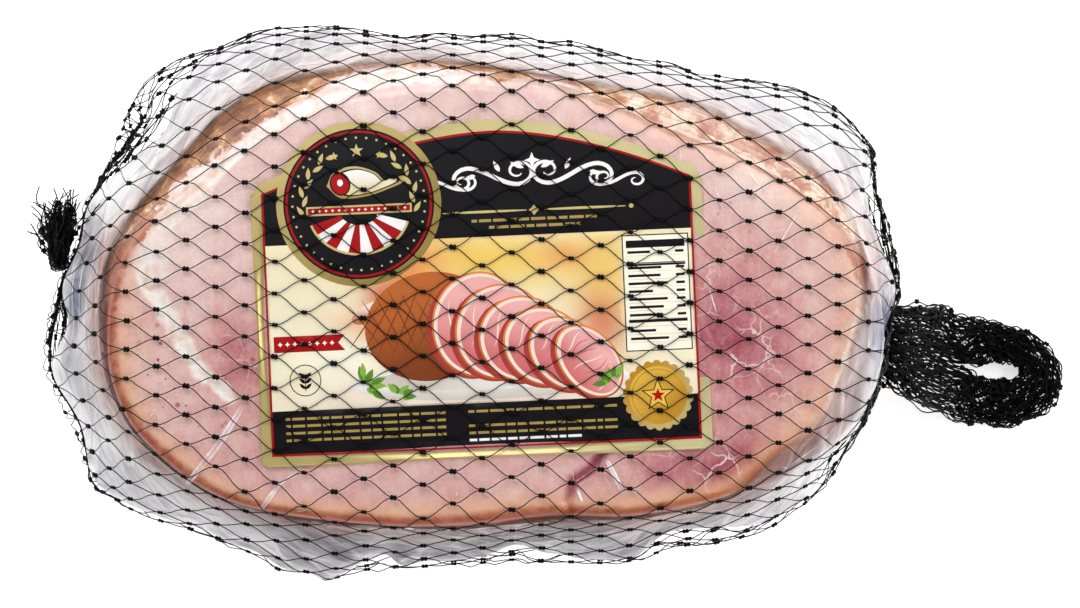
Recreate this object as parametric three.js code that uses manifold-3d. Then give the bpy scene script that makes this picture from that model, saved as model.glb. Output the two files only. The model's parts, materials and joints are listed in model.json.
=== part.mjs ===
// A spiral cut ham, half a ham on the bone, sealed in clear film and pulled into a knotted net.
// It lies on its rounded back with the cut face up. Millimetres and degrees, +Z up.
// X runs along the net, from its cut and tied tuft to its loop handle, and Y runs across the face.
import * as THREE from "three";
import { mergeVertices } from "three/addons/utils/BufferGeometryUtils.js";
import Module from "manifold-3d";

// Driving dimensions.
const PACK_LENGTH = 304;
const PACK_WIDTH = 188;
const PACK_HEIGHT = 130;
const PACK_ROUNDNESS = 1.9; // exponent of the oval, 2 is an ellipse
const FACE_LENGTH = 270;
const FACE_WIDTH = 158.4;
const FACE_ROUNDNESS = 2.05;
const FACE_SHIFT = 6.5; // the face lies this far towards the handle
const FACE_DOME = 6; // how far the face drops from its middle to its cut edge
const EDGE_RADIUS = 8; // film over the cut edge
const SIDE_SWELL = 3; // how far the meat swells past the cut edge, at the least
const SWELL_POWER = 2.2; // how late the side turns in to the cut edge
const SWELL_ROOM = 0.8; // and at the most, as a share of the room inside the widest outline
const WAIST_HEIGHT = 66; // where the pack is widest and its film folds stand out
const REST_SHARE = 0.54; // size of the flat spot underneath, as a share of the widest outline
const BACK_ROUNDNESS = 2.15;
const FOLD_ABOVE = 30; // reach of the film folds above and below the waist
const FOLD_BELOW = 22;
const PLEAT_DEPTH = 1.3;
const PLEATS = 23;
const CROSS_PLEATS = 37;

// Each bump has a direction, how far it stands out, and half its spread.
// The cut face is flattened where the leg narrows and full towards the label's foot.
const FACE_BUMPS = [
  { at: 36, out: -13, spread: 30 },
  { at: 159, out: -9.3, spread: 14 },
  { at: 212.5, out: 10.8, spread: 25 },
  { at: 337, out: 11, spread: 24 },
];

// The rind side swells out below the cut edge.
const SWELL_BUMPS = [
  { at: 40, out: 14, spread: 22 },
  { at: 140, out: 7, spread: 38 },
];

// The loop's strands fan out into the neck.
const LOOP_SHOULDERS = [
  { at: 130, out: 5.5, spread: 20 },
  { at: -132, out: 2.5, spread: 20 },
];

// Folded corners of spare film round the meat.
const FILM_BUMPS = [
  { at: 26.8, out: 17.8, spread: 12.9 },
  { at: 124, out: 11.2, spread: 12.9 },
  { at: 143.7, out: 17.7, spread: 13.4 },
  { at: 189, out: 3.4, spread: 5.6 },
  { at: 207.8, out: 18.3, spread: 13 },
  { at: 235.7, out: 12.5, spread: 15.5 },
  { at: 297.4, out: 3.2, spread: 8 },
  { at: 323.7, out: 14.5, spread: 19.2 },
  { at: 174, out: -7, spread: 6 }, // pulled in where the net gathers to the tuft
  { at: 354, out: -3.5, spread: 8 }, // and where it gathers to the handle
];

const LABEL_WIDTH = 158;
const LABEL_HEIGHT = 98; // at its two sides
const LABEL_ARCH = 20.4; // rise of the top edge above its sides
const LABEL_ARCH_AT = 6; // where along the label the arch is highest
const LABEL_ARCH_POWER = 1.7; // 2 is a parabola
const LABEL_CORNER = 3;
const LABEL_TURN = 2.5; // degrees on the face
const LABEL_FOOT = new THREE.Vector2(5.3, -55.4); // middle of the bottom edge
const LABEL_THICK = 0.6;
const BADGE_RADIUS = 28.9; // round badge that rises over the top edge
const BADGE_AT = new THREE.Vector2(-41.2, 90.9); // in the label's own frame, from its foot

const GATHER_HEIGHT = 50; // where the net closes at both ends
const HANDLE_ROOT = new THREE.Vector2(147.5, -14.8);
const HANDLE_ROOT_WIDTH = 26;
const NECK_WIDTH = 39; // where the neck has spread into the loop
const NECK_THICK = 12;
const LOOP_CENTRE = new THREE.Vector2(185.4, -26.6);
const LOOP_LENGTH = 48;
const LOOP_WIDTH = 36;
const LOOP_TURN = -8; // degrees
const LOOP_THICK = 9.6;
const GAP_CENTRE = new THREE.Vector2(187.3, -25.4);
const GAP_LENGTH = 22;
const GAP_WIDTH = 8;
const LANDING_X = 181; // the handle lies on the floor from here out
const LUMP = 0.7; // unevenness of the bunched net

const TUFT_ROOT = new THREE.Vector3(-147, 14, 58);
const TUFT_STRANDS = 9;
const TUFT_FAN = { from: 82, to: 134 }; // degrees in plan
const TIE_SIZE = new THREE.Vector3(8.4, 11, 12);
const TUFT_LENGTH = { from: 28, to: 19 }; // in plan, across the fan
const TUFT_CLIMB = { from: 30, to: 14 }; // rise of the tips over the pack's shoulder
const STRAND_ROOT = 3.1; // half thickness of a bundle of cut ends at its root
const STRAND_TIP = 0.9;

const CLEARANCE = 0.3;
const AROUND = 120; // facets round the pack

const wasm = await Module();
wasm.setup();

const radians = THREE.MathUtils.degToRad;
const mix = THREE.MathUtils.lerp;

/** Steps 0, 1/n ... 1 as a list. */
function steps(count) {
  return Array.from({ length: count + 1 }, (_, i) => i / count);
}

/** Radius of a superellipse at an angle in radians. */
function ovalRadius(angle, length, width, roundness) {
  const along = Math.abs(Math.cos(angle) / (length / 2)) ** roundness;
  const across = Math.abs(Math.sin(angle) / (width / 2)) ** roundness;
  return (along + across) ** (-1 / roundness);
}

/** How far a list of bumps stands out at an angle in radians. */
function bumpsAt(angle, bumps) {
  let out = 0;
  for (const bump of bumps) {
    const turned = angle - radians(bump.at) + Math.PI;
    const away = THREE.MathUtils.euclideanModulo(turned, 2 * Math.PI) - Math.PI;
    out += bump.out * Math.exp(-((away / radians(bump.spread)) ** 2));
  }
  return out;
}

/** A closed skin over rows of points; each row is a ring, and a row of one point is a pole. */
function skin(rows, rowsMeet = false) {
  const starts = [];
  const points = [];
  for (const row of rows) {
    starts.push(points.length);
    points.push(...row);
  }
  const faces = [];
  const last = rowsMeet ? rows.length : rows.length - 1;
  for (let i = 0; i < last; i++) {
    const j = (i + 1) % rows.length;
    const count = Math.max(rows[i].length, rows[j].length);
    const at = (row, k) => starts[row] + (rows[row].length === 1 ? 0 : k % count);
    for (let k = 0; k < count; k++) {
      if (rows[i].length > 1) faces.push(at(i, k), at(j, k), at(i, k + 1));
      if (rows[j].length > 1) faces.push(at(i, k + 1), at(j, k), at(j, k + 1));
    }
  }
  const geometry = new THREE.BufferGeometry().setFromPoints(points);
  geometry.setIndex(faces);
  return geometry;
}

/** A geometry as a solid that can be joined and cut. */
function solidOf(geometry) {
  const plain = geometry.clone();
  plain.deleteAttribute("normal");
  plain.deleteAttribute("uv");
  const merged = mergeVertices(plain, 1e-4);
  const mesh = new wasm.Mesh({
    numProp: 3,
    vertProperties: merged.attributes.position.array,
    triVerts: new Uint32Array(merged.index.array),
  });
  return new wasm.Manifold(mesh);
}

/** A solid back as a geometry. */
function geometryOf(solid) {
  const mesh = solid.getMesh();
  const geometry = new THREE.BufferGeometry();
  geometry.setAttribute("position", new THREE.BufferAttribute(mesh.vertProperties, 3));
  geometry.setIndex(new THREE.BufferAttribute(mesh.triVerts, 1));
  return geometry;
}

// ---- The pack: meat in film, out to the net ----

/** Height of the film over the cut face. */
function faceHeight(x, y) {
  const along = (x - FACE_SHIFT) / (FACE_LENGTH / 2);
  const across = y / (FACE_WIDTH / 2);
  return PACK_HEIGHT - FACE_DOME * (along ** 2 + across ** 2);
}

/** A point on the cut edge, grown outwards by so many millimetres. */
function facePoint(angle, grown) {
  const oval = ovalRadius(angle, FACE_LENGTH, FACE_WIDTH, FACE_ROUNDNESS);
  const radius = oval + bumpsAt(angle, FACE_BUMPS) + grown;
  return new THREE.Vector2(FACE_SHIFT + radius * Math.cos(angle), radius * Math.sin(angle));
}

/** A point on the widest outline, where the film folds stand out. */
function outlinePoint(angle) {
  const oval = ovalRadius(angle, PACK_LENGTH, PACK_WIDTH, PACK_ROUNDNESS);
  const pleats = Math.sin(PLEATS * angle) + 0.6 * Math.sin(CROSS_PLEATS * angle + 1);
  const radius = oval + bumpsAt(angle, FILM_BUMPS) + (PLEAT_DEPTH / 2) * pleats;
  return new THREE.Vector2(radius * Math.cos(angle), radius * Math.sin(angle));
}

/** How much of the film fold stands out at a height, from 0 to 1. */
function foldShare(height) {
  const reach = height > WAIST_HEIGHT ? FOLD_ABOVE : FOLD_BELOW;
  return Math.exp(-(((height - WAIST_HEIGHT) / reach) ** 2));
}

/** How far the meat swells past the cut edge. */
function sideSwell(angle) {
  const room = outlinePoint(angle).distanceTo(facePoint(angle, 0));
  return Math.min(SIDE_SWELL + bumpsAt(angle, SWELL_BUMPS), SWELL_ROOM * room);
}

/** The meat's own side at a height, without the film folds. */
function meatPoint(angle, height, topHeight) {
  const swell = sideSwell(angle);
  if (height >= WAIST_HEIGHT) {
    const up = (height - WAIST_HEIGHT) / (topHeight - WAIST_HEIGHT);
    return facePoint(angle, swell * (1 - up ** SWELL_POWER));
  }
  const down = (WAIST_HEIGHT - height) / WAIST_HEIGHT;
  const round = (1 - down ** BACK_ROUNDNESS) ** (1 / BACK_ROUNDNESS);
  return facePoint(angle, swell).multiplyScalar(mix(REST_SHARE, 1, round));
}

/** One ring of the pack, made by a rule that gives a point for each angle. */
function packRing(rule) {
  return Array.from({ length: AROUND }, (_, i) => rule((2 * Math.PI * i) / AROUND));
}

/** The ring at a share of the face, from its middle to where the film starts to turn over the edge. */
function faceRing(share) {
  return packRing((angle) => {
    const edge = facePoint(angle, -EDGE_RADIUS);
    const x = mix(FACE_SHIFT, edge.x, share);
    const y = edge.y * share;
    return new THREE.Vector3(x, y, faceHeight(x, y));
  });
}

/** Height of the film just under the cut edge. */
function edgeHeight(angle) {
  const edge = facePoint(angle, 0);
  return faceHeight(edge.x, edge.y) - EDGE_RADIUS;
}

/** The ring at a share of the turn over the cut edge. */
function turnRing(share) {
  const turn = (share * Math.PI) / 2;
  return packRing((angle) => {
    const edge = facePoint(angle, EDGE_RADIUS * (Math.sin(turn) - 1));
    const height = edgeHeight(angle) + EDGE_RADIUS * Math.cos(turn);
    return new THREE.Vector3(edge.x, edge.y, height);
  });
}

/** The ring at a share of the side, from under the cut edge down to the flat spot. */
function sideRing(share) {
  return packRing((angle) => {
    const top = edgeHeight(angle);
    const height = top * (1 - share) ** 1.25;
    const meat = meatPoint(angle, height, top);
    const waist = facePoint(angle, sideSwell(angle));
    const fold = outlinePoint(angle).sub(waist).multiplyScalar(foldShare(height));
    return new THREE.Vector3(meat.x + fold.x, meat.y + fold.y, height);
  });
}

/** The ring at a share of the flat spot underneath. */
function restRing(share) {
  return sideRing(1).map((point) => new THREE.Vector3(point.x * share, point.y * share, 0));
}

/** The whole pack as one closed skin. */
function packGeometry() {
  const top = [new THREE.Vector3(FACE_SHIFT, 0, PACK_HEIGHT)];
  const bottom = [new THREE.Vector3(0, 0, 0)];
  const face = [0.15, 0.3, 0.45, 0.6, 0.72, 0.82, 0.91, 1].map(faceRing);
  const turn = [0.33, 0.67].map(turnRing);
  const side = steps(14).map(sideRing);
  const rest = [0.6, 0.2].map(restRing);
  return skin([top, ...face, ...turn, ...side, ...rest, bottom]);
}

/** The pack grown by the clearance, to cut away what would touch it. */
function packClearance(pack) {
  const grown = mergeVertices(pack, 1e-4);
  grown.computeVertexNormals();
  const { position, normal } = grown.attributes;
  for (let i = 0; i < position.count; i++) {
    const at = new THREE.Vector3().fromBufferAttribute(position, i);
    const out = new THREE.Vector3().fromBufferAttribute(normal, i);
    at.addScaledVector(out, 1.4 * CLEARANCE);
    position.setXYZ(i, at.x, at.y, at.z);
  }
  return solidOf(grown);
}

// ---- The label: a thin printed sheet that lies on the film over the face ----

/** How much a rounded corner takes off the edge at a place along the label. */
function cornerCut(along) {
  const past = Math.max(0, Math.abs(along) - (LABEL_WIDTH / 2 - LABEL_CORNER));
  return LABEL_CORNER - Math.sqrt(LABEL_CORNER ** 2 - past ** 2);
}

/** The label's top edge: an arch, with the round badge rising over it. */
function labelTop(along) {
  const span = LABEL_WIDTH / 2 + LABEL_ARCH_AT * (along < LABEL_ARCH_AT ? 1 : -1);
  const away = Math.abs(along - LABEL_ARCH_AT) / span;
  const arch = LABEL_HEIGHT + LABEL_ARCH * (1 - away ** LABEL_ARCH_POWER);
  const off = along - BADGE_AT.x;
  const badge = BADGE_AT.y + Math.sqrt(Math.max(0, BADGE_RADIUS ** 2 - off ** 2));
  return Math.max(arch - cornerCut(along), Math.abs(off) < BADGE_RADIUS ? badge : 0);
}

/** A place on the label, from its own frame to the face, raised above the film. */
function labelPoint(along, up, raised) {
  const at = new THREE.Vector2(along, up).rotateAround(new THREE.Vector2(), radians(LABEL_TURN));
  at.add(LABEL_FOOT);
  return new THREE.Vector3(at.x, at.y, faceHeight(at.x, at.y) + raised);
}

/** The label as one closed skin of rings, each going up over its front and back down behind. */
function labelGeometry() {
  const half = LABEL_WIDTH / 2;
  const corner = [0, 0.12, 0.45].map((share) => -half + share * LABEL_CORNER);
  const middle = steps(52).map((share) => mix(-half + LABEL_CORNER, half - LABEL_CORNER, share));
  const columns = [...corner, ...middle, ...corner.map((along) => -along).reverse()];
  const back = CLEARANCE;
  const front = CLEARANCE + LABEL_THICK;
  const rows = columns.map((along) => {
    const low = cornerCut(along);
    const high = labelTop(along);
    const line = (raised) => steps(10).map((share) => labelPoint(along, mix(low, high, share), raised));
    return [...line(front), ...line(back).reverse()];
  });
  return closedByEnds(rows);
}

/** A skin over rings whose first and last ring are closed by flat ends. */
function closedByEnds(rows) {
  const geometry = skin(rows);
  const faces = Array.from(geometry.index.array);
  const count = rows[0].length;
  const lastRow = (rows.length - 1) * count;
  for (let i = 0; i < count / 2 - 1; i++) {
    const low = i;
    const high = count - 1 - i;
    faces.push(low, low + 1, high, low + 1, high - 1, high);
    faces.push(lastRow + low, lastRow + high, lastRow + low + 1);
    faces.push(lastRow + low + 1, lastRow + high, lastRow + high - 1);
  }
  geometry.setIndex(faces);
  return geometry;
}

// ---- The handle: the net's bunched end, looped back on itself ----

/** Height of the handle's middle: it leaves the pack, bends down and lies on the floor. */
function handleHeight(x) {
  const share = THREE.MathUtils.clamp((LANDING_X - x) / (LANDING_X - HANDLE_ROOT.x), 0, 1);
  return mix(LOOP_THICK / 2, GATHER_HEIGHT, share ** 2 * (3 - 2 * share));
}

/** The uneven surface of bunched net, by two angles. */
function lump(turn, round) {
  return LUMP * (Math.sin(5 * turn + 2 * round) + 0.7 * Math.sin(9 * turn - 3 * round + 1));
}

/** The loop as a skin of sections round its gap. */
function loopSolid() {
  const turnCount = 44;
  const roundCount = 12;
  const rows = [];
  for (let i = 0; i < turnCount; i++) {
    const turn = (2 * Math.PI * i) / turnCount;
    const outRadius = ovalRadius(turn, LOOP_LENGTH, LOOP_WIDTH, 2.1) + bumpsAt(turn, LOOP_SHOULDERS);
    const outer = new THREE.Vector2(outRadius * Math.cos(turn), outRadius * Math.sin(turn));
    outer.rotateAround(new THREE.Vector2(), radians(LOOP_TURN)).add(LOOP_CENTRE);
    const gapTurn = turn + radians(LOOP_TURN);
    const inRadius = ovalRadius(gapTurn, GAP_LENGTH, GAP_WIDTH, 2);
    const inner = new THREE.Vector2(inRadius * Math.cos(gapTurn), inRadius * Math.sin(gapTurn));
    inner.add(GAP_CENTRE);
    const middle = inner.clone().add(outer).multiplyScalar(0.5);
    const half = outer.clone().sub(inner).multiplyScalar(0.5);
    const row = [];
    for (let j = 0; j < roundCount; j++) {
      const round = (2 * Math.PI * j) / roundCount;
      const out = Math.cos(round);
      const up = Math.sin(round);
      const x = middle.x + half.x * out;
      const y = middle.y + half.y * out;
      const uneven = up > 0.3 ? lump(turn, round) : 0;
      row.push(new THREE.Vector3(x, y, handleHeight(x) + (LOOP_THICK / 2) * up + uneven));
    }
    rows.push(row);
  }
  return solidOf(skin(rows, true));
}

/** The neck between the pack and the loop, as a skin of flattened sections along its fall. */
function neckSolid() {
  const roundCount = 14;
  const reach = { from: HANDLE_ROOT.x - 7, to: GAP_CENTRE.x - GAP_LENGTH / 2 - 2 };
  const across = new THREE.Vector2().subVectors(LOOP_CENTRE, HANDLE_ROOT).normalize();
  const side = new THREE.Vector3(-across.y, across.x, 0);
  const rows = steps(12).map((share) => {
    const x = mix(reach.from, reach.to, share);
    const y = mix(HANDLE_ROOT.y, LOOP_CENTRE.y, (x - HANDLE_ROOT.x) / (LOOP_CENTRE.x - HANDLE_ROOT.x));
    const slope = handleHeight(x + 0.5) - handleHeight(x - 0.5);
    const along = new THREE.Vector3(across.x, across.y, slope).normalize();
    const up = new THREE.Vector3().crossVectors(along, side).normalize();
    const spread = THREE.MathUtils.smoothstep(share, 0.15, 0.75);
    const halfWidth = mix(HANDLE_ROOT_WIDTH, NECK_WIDTH, spread) / 2;
    const halfThick = mix(NECK_THICK, LOOP_THICK - 1, share) / 2;
    return Array.from({ length: roundCount }, (_, j) => {
      const round = (2 * Math.PI * j) / roundCount;
      const uneven = 1 + 0.07 * Math.sin(3 * round + 9 * share);
      return new THREE.Vector3(x, y, handleHeight(x))
        .addScaledVector(side, halfWidth * uneven * Math.cos(round))
        .addScaledVector(up, halfThick * uneven * Math.sin(round));
    });
  });
  const pole = (row) => [row.reduce((sum, point) => sum.add(point), new THREE.Vector3()).divideScalar(row.length)];
  return solidOf(skin([pole(rows[0]), ...rows, pole(rows.at(-1))].reverse()));
}

// ---- The tuft: the net's other end, tied and cut ----

/** One bundle of cut net ends, from the tie to its tip. */
function strandSolid(index) {
  const share = index / (TUFT_STRANDS - 1);
  const heading = radians(mix(TUFT_FAN.from, TUFT_FAN.to, share));
  const length = mix(TUFT_LENGTH.from, TUFT_LENGTH.to, share) - 2.5 * (index % 2);
  const climb = mix(TUFT_CLIMB.from, TUFT_CLIMB.to, share) - 5 * (index % 2);
  const curl = 4 * Math.sin(2.1 * index);
  const tip = new THREE.Vector3(length * Math.cos(heading), length * Math.sin(heading), climb);
  const sideways = new THREE.Vector3(-Math.sin(heading), Math.cos(heading), 0);
  const bend = tip.clone().multiplyScalar(0.55).addScaledVector(sideways, curl);
  const path = new THREE.CatmullRomCurve3([
    TUFT_ROOT.clone(),
    TUFT_ROOT.clone().add(bend.clone().multiplyScalar(0.5)),
    TUFT_ROOT.clone().add(bend),
    TUFT_ROOT.clone().add(tip),
  ]);
  const segments = 6;
  const sides = 7;
  const frames = path.computeFrenetFrames(segments);
  const rows = steps(segments).map((along, i) => {
    const radius = mix(STRAND_ROOT, STRAND_TIP, along ** 0.8);
    return Array.from({ length: sides }, (_, j) => {
      const round = (2 * Math.PI * j) / sides;
      return path
        .getPointAt(along)
        .addScaledVector(frames.normals[i], radius * Math.cos(round))
        .addScaledVector(frames.binormals[i], radius * Math.sin(round));
    });
  });
  const start = [path.getPointAt(0).addScaledVector(frames.tangents[0], -1)];
  const end = [path.getPointAt(1).addScaledVector(frames.tangents[segments], STRAND_TIP)];
  return solidOf(skin([start, ...rows, end].reverse()));
}

/** The tie that all the cut ends spring from. */
function tieSolid() {
  const tie = new THREE.SphereGeometry(1, 14, 10);
  tie.scale(TIE_SIZE.x / 2, TIE_SIZE.y / 2, TIE_SIZE.z / 2);
  tie.translate(TUFT_ROOT.x, TUFT_ROOT.y, TUFT_ROOT.z);
  return solidOf(tie);
}

/** A named mesh with its own plain finish. */
function part(name, geometry, color, roughness) {
  const material = new THREE.MeshStandardMaterial({ color, roughness, metalness: 0 });
  const mesh = new THREE.Mesh(geometry, material);
  mesh.name = name;
  return mesh;
}

const pack = packGeometry();
const clearance = packClearance(pack);
const handle = loopSolid().add(neckSolid()).subtract(clearance);
let tuft = tieSolid();
for (let i = 0; i < TUFT_STRANDS; i++) tuft = tuft.add(strandSolid(i));
tuft = tuft.subtract(clearance);

const ham = new THREE.Group();
ham.add(part("ham_pack", pack, 0xd6aca6, 0.25));
ham.add(part("label", labelGeometry(), 0xcbb98a, 0.4));
ham.add(part("net_handle", geometryOf(handle), 0x080709, 0.55));
ham.add(part("net_tuft", geometryOf(tuft), 0x080709, 0.55));

// The origin is under the middle of the whole, on the surface that it lies on.
const box = new THREE.Box3().setFromObject(ham);
const middle = box.getCenter(new THREE.Vector3());
ham.position.set(-middle.x, -middle.y, -box.min.z);

export default ham;
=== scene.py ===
"""A spiral cut ham, half a leg on the bone, sealed in clear film and pulled into a black knotted net.

The ham lies on its rounded back with the cut face up. A printed sheet label lies on the film over the
face, and the net goes over both. The net's ends are a bunched loop handle at +X and a tied tuft at -X.
Sizes are in millimetres in the pack's own frame, whose origin is the mount "rest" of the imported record.
"""

import json
import logging
import math
from dataclasses import dataclass
from enum import Enum
from typing import Sequence

import bpy
import numpy as np
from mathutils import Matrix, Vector, geometry, noise
from mathutils.bvhtree import BVHTree


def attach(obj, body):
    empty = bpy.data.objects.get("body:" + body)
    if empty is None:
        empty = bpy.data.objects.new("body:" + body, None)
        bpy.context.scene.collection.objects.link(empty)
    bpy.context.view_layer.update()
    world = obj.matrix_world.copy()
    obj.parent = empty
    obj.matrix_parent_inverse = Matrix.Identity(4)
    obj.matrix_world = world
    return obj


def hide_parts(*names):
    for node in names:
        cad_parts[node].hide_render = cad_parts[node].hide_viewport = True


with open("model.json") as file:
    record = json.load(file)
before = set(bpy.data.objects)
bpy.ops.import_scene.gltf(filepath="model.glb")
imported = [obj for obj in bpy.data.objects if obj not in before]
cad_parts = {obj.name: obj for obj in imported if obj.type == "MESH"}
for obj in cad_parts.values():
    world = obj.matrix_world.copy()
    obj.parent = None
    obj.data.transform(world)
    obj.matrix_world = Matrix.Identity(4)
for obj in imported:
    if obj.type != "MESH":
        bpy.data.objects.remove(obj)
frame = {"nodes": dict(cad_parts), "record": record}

Array = np.ndarray
Piece = bpy.types.Object
Socket = bpy.types.NodeSocket
NodeTree = bpy.types.NodeTree
Pair = tuple[float, float]
Triple = tuple[float, float, float]
Stops = tuple[tuple[float, str], ...]

LOG = logging.getLogger("ham")
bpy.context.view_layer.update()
MILLIMETRE = 0.001
REST_POINT = np.array(frame["record"]["mounts"][0]["pos_m"])


# ---- Numbers, shapes and meshes ----


def to_row(points: Array) -> Array:
    """Points from the pack's own frame in millimetres to the row frame in metres."""
    return points * MILLIMETRE + REST_POINT


def to_pack(places: Sequence[Vector]) -> Array:
    """Places from the row frame in metres to the pack's own frame in millimetres."""
    return (np.array(places) - REST_POINT) / MILLIMETRE


def lengths(vectors: Array) -> Array:
    """The length of each vector along the last axis."""
    return np.linalg.norm(vectors, axis=-1)


def smooth(value: Array, low: float, high: float) -> Array:
    """A soft step from 0 at low to 1 at high."""
    share = np.clip((value - low) / (high - low), 0.0, 1.0)
    return share * share * (3.0 - 2.0 * share)


def hill(away: Array, spread: float) -> Array:
    """A bell of height 1 that falls off over the spread."""
    return np.exp(-((away / spread) ** 2))


def mix(low: Array, high: Array, share: Array) -> Array:
    """The value at a share of the way from low to high."""
    return low + (high - low) * share


def unevenness(points: Array, size: float, seed: float = 0.0) -> Array:
    """Smooth noise from about -1 to 1.

    Args:
        points: Places, one row each.
        size: Size of a lump, in the points' own unit.
        seed: Moves the noise, so that two uses differ.

    Returns:
        One value for each point.
    """
    shifted = np.asarray(points, float) / size + seed * 7.3
    return np.array([noise.noise(Vector(place)) for place in shifted.tolist()])


def line_distance(points: Array, line: Sequence[Pair]) -> Array:
    """Distance of each point from a broken line in plan.

    Args:
        points: Places in plan, one row each.
        line: Corners of the line.

    Returns:
        One distance for each point.
    """
    nearest = np.full(len(points), np.inf)
    for start, end in zip(line[:-1], line[1:]):
        a, b = np.array(start), np.array(end)
        along = np.clip((points - a) @ (b - a) / ((b - a) @ (b - a)), 0.0, 1.0)
        nearest = np.minimum(nearest, lengths(points - a - along[:, None] * (b - a)))
    return nearest


def through(corners: Array, steps: int) -> Array:
    """A smooth path through corners, by Catmull and Rom's rule.

    Args:
        corners: Points that the path passes through.
        steps: How many points the path gets.

    Returns:
        The path's points.
    """
    padded = np.vstack([2 * corners[0] - corners[1], corners, 2 * corners[-1] - corners[-2]])
    places = np.linspace(0.0, len(corners) - 1.000001, steps)
    i = places.astype(int)
    t = (places - i)[:, None]
    p0, p1, p2, p3 = (padded[i + k] for k in range(4))
    bend = 2 * p0 - 5 * p1 + 4 * p2 - p3
    return 0.5 * (2 * p1 + (p2 - p0) * t + bend * t**2 + (3 * p1 - 3 * p2 + p3 - p0) * t**3)


def evenly(path: Array, count: int) -> Array:
    """A path's points spaced out again at equal lengths.

    Args:
        path: The path's points.
        count: How many points it gets.

    Returns:
        The new points.
    """
    steps = lengths(np.diff(path, axis=0))
    reach = np.concatenate([[0.0], np.cumsum(steps)])
    at = np.linspace(0.0, reach[-1], count)
    return np.stack([np.interp(at, reach, path[:, k]) for k in range(path.shape[1])], axis=1)


def ring_skin(rows: Sequence[Array]) -> tuple[Array, Array]:
    """A closed skin over rings, where a row of one point is a pole.

    Args:
        rows: Rings of points from the top down, each anticlockwise seen from above.

    Returns:
        The points and the triangles.
    """
    starts = np.cumsum([0] + [len(row) for row in rows])
    triangles = []
    for i in range(len(rows) - 1):
        count = max(len(rows[i]), len(rows[i + 1]))
        k = np.arange(count)
        upper = starts[i] + (k if len(rows[i]) > 1 else 0 * k)
        lower = starts[i + 1] + (k if len(rows[i + 1]) > 1 else 0 * k)
        if len(rows[i]) > 1:
            triangles.append(np.stack([upper, lower, np.roll(upper, -1)], axis=1))
        if len(rows[i + 1]) > 1:
            triangles.append(np.stack([np.roll(upper, -1), lower, np.roll(lower, -1)], axis=1))
    return np.vstack(rows), np.vstack(triangles)


def linked(name: str, data: bpy.types.ID) -> Piece:
    """A new object in the scene for a mesh, a lamp or a camera.

    Args:
        name: Its name.
        data: What it shows.

    Returns:
        The object.
    """
    made = bpy.data.objects.new(name, data)
    bpy.context.scene.collection.objects.link(made)
    return made


def flat_spot(ring: Array, height: float) -> list[Array]:
    """The last rings of a back: two inside the lowest ring, then a pole at a height."""
    inner = [np.c_[ring[:, :2] * share, ring[:, 2]] for share in (0.7, 0.35)]
    return inner + [np.array([[0.0, 0.0, height]])]


def drawn_in(plan: Array, inward: Array, height: Array) -> Array:
    """Places at a height, drawn in towards the pack's middle."""
    reach = lengths(plan)
    return np.c_[plan * ((reach - inward) / reach)[:, None], height]


def sideways(path: Array) -> Array:
    """The direction to the left of a path in plan, at each of its points.

    Args:
        path: The path's points.

    Returns:
        One direction for each point.
    """
    way = np.gradient(path, axis=0)
    way /= lengths(way)[:, None]
    return np.c_[-way[:, 1], way[:, 0]]


def new_object(name: str, points: Array, faces: Array, smooth_faces: bool = True) -> Piece:
    """A mesh object at the origin from points in the pack's frame.

    Args:
        name: Name of the piece.
        points: Places in millimetres.
        faces: Triangles, or edges where each row holds two.
        smooth_faces: Whether the faces are shaded smooth.

    Returns:
        The linked object.
    """
    mesh = bpy.data.meshes.new(name)
    if faces.shape[1] == 2:
        mesh.from_pydata(to_row(points).tolist(), faces.tolist(), [])
    else:
        mesh.from_pydata(to_row(points).tolist(), [], faces.tolist())
        mesh.polygons.foreach_set("use_smooth", [smooth_faces] * len(faces))
    return linked(name, mesh)


def tree_of(made: Piece) -> BVHTree:
    """An object's faces, in metres, to cast rays on."""
    points = [vertex.co.copy() for vertex in made.data.vertices]
    return BVHTree.FromPolygons(points, [tuple(face.vertices) for face in made.data.polygons])


def give(made: Piece, name: str, values: Array, domain: str = "POINT") -> None:
    """Writes values to an object's attribute: numbers, vectors or colours by their width.

    Args:
        made: The object.
        name: The attribute's name.
        values: One row for each place.
        domain: What the places are.
    """
    kinds = {1: ("FLOAT", "value"), 3: ("FLOAT_VECTOR", "vector"), 4: ("FLOAT_COLOR", "color")}
    width = 1 if values.ndim == 1 else values.shape[1]
    kind, key = kinds[width]
    attribute = made.data.attributes.new(name, kind, domain)
    attribute.data.foreach_set(key, np.ascontiguousarray(values, dtype=np.float32).ravel())


def settle(made: Piece, slot: str, *nodes: str) -> None:
    """Ties a finished piece to the body, hides the nodes that it stands for and logs its finish slot.

    Args:
        made: The piece.
        slot: Its finish slot.
        *nodes: The nodes that it replaces.
    """
    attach(made, "root")
    if nodes:
        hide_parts(*nodes)
    LOG.info("%s: %d triangles, finish %s", made.name, count_triangles(made), slot)


def count_triangles(made: Piece) -> int:
    """How many triangles an object's mesh has."""
    made.data.calc_loop_triangles()
    return len(made.data.loop_triangles)


# ---- Finishes ----


def linear(colour: str) -> tuple[float, float, float, float]:
    """A hex colour in sRGB as linear light with full alpha.

    Args:
        colour: The colour, such as "#FFFFFF".

    Returns:
        Red, green, blue and alpha.
    """
    parts = [int(colour[i : i + 2], 16) / 255 for i in (1, 3, 5)]
    light = [c / 12.92 if c <= 0.04045 else ((c + 0.055) / 1.055) ** 2.4 for c in parts]
    return (*light, 1.0)


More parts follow.
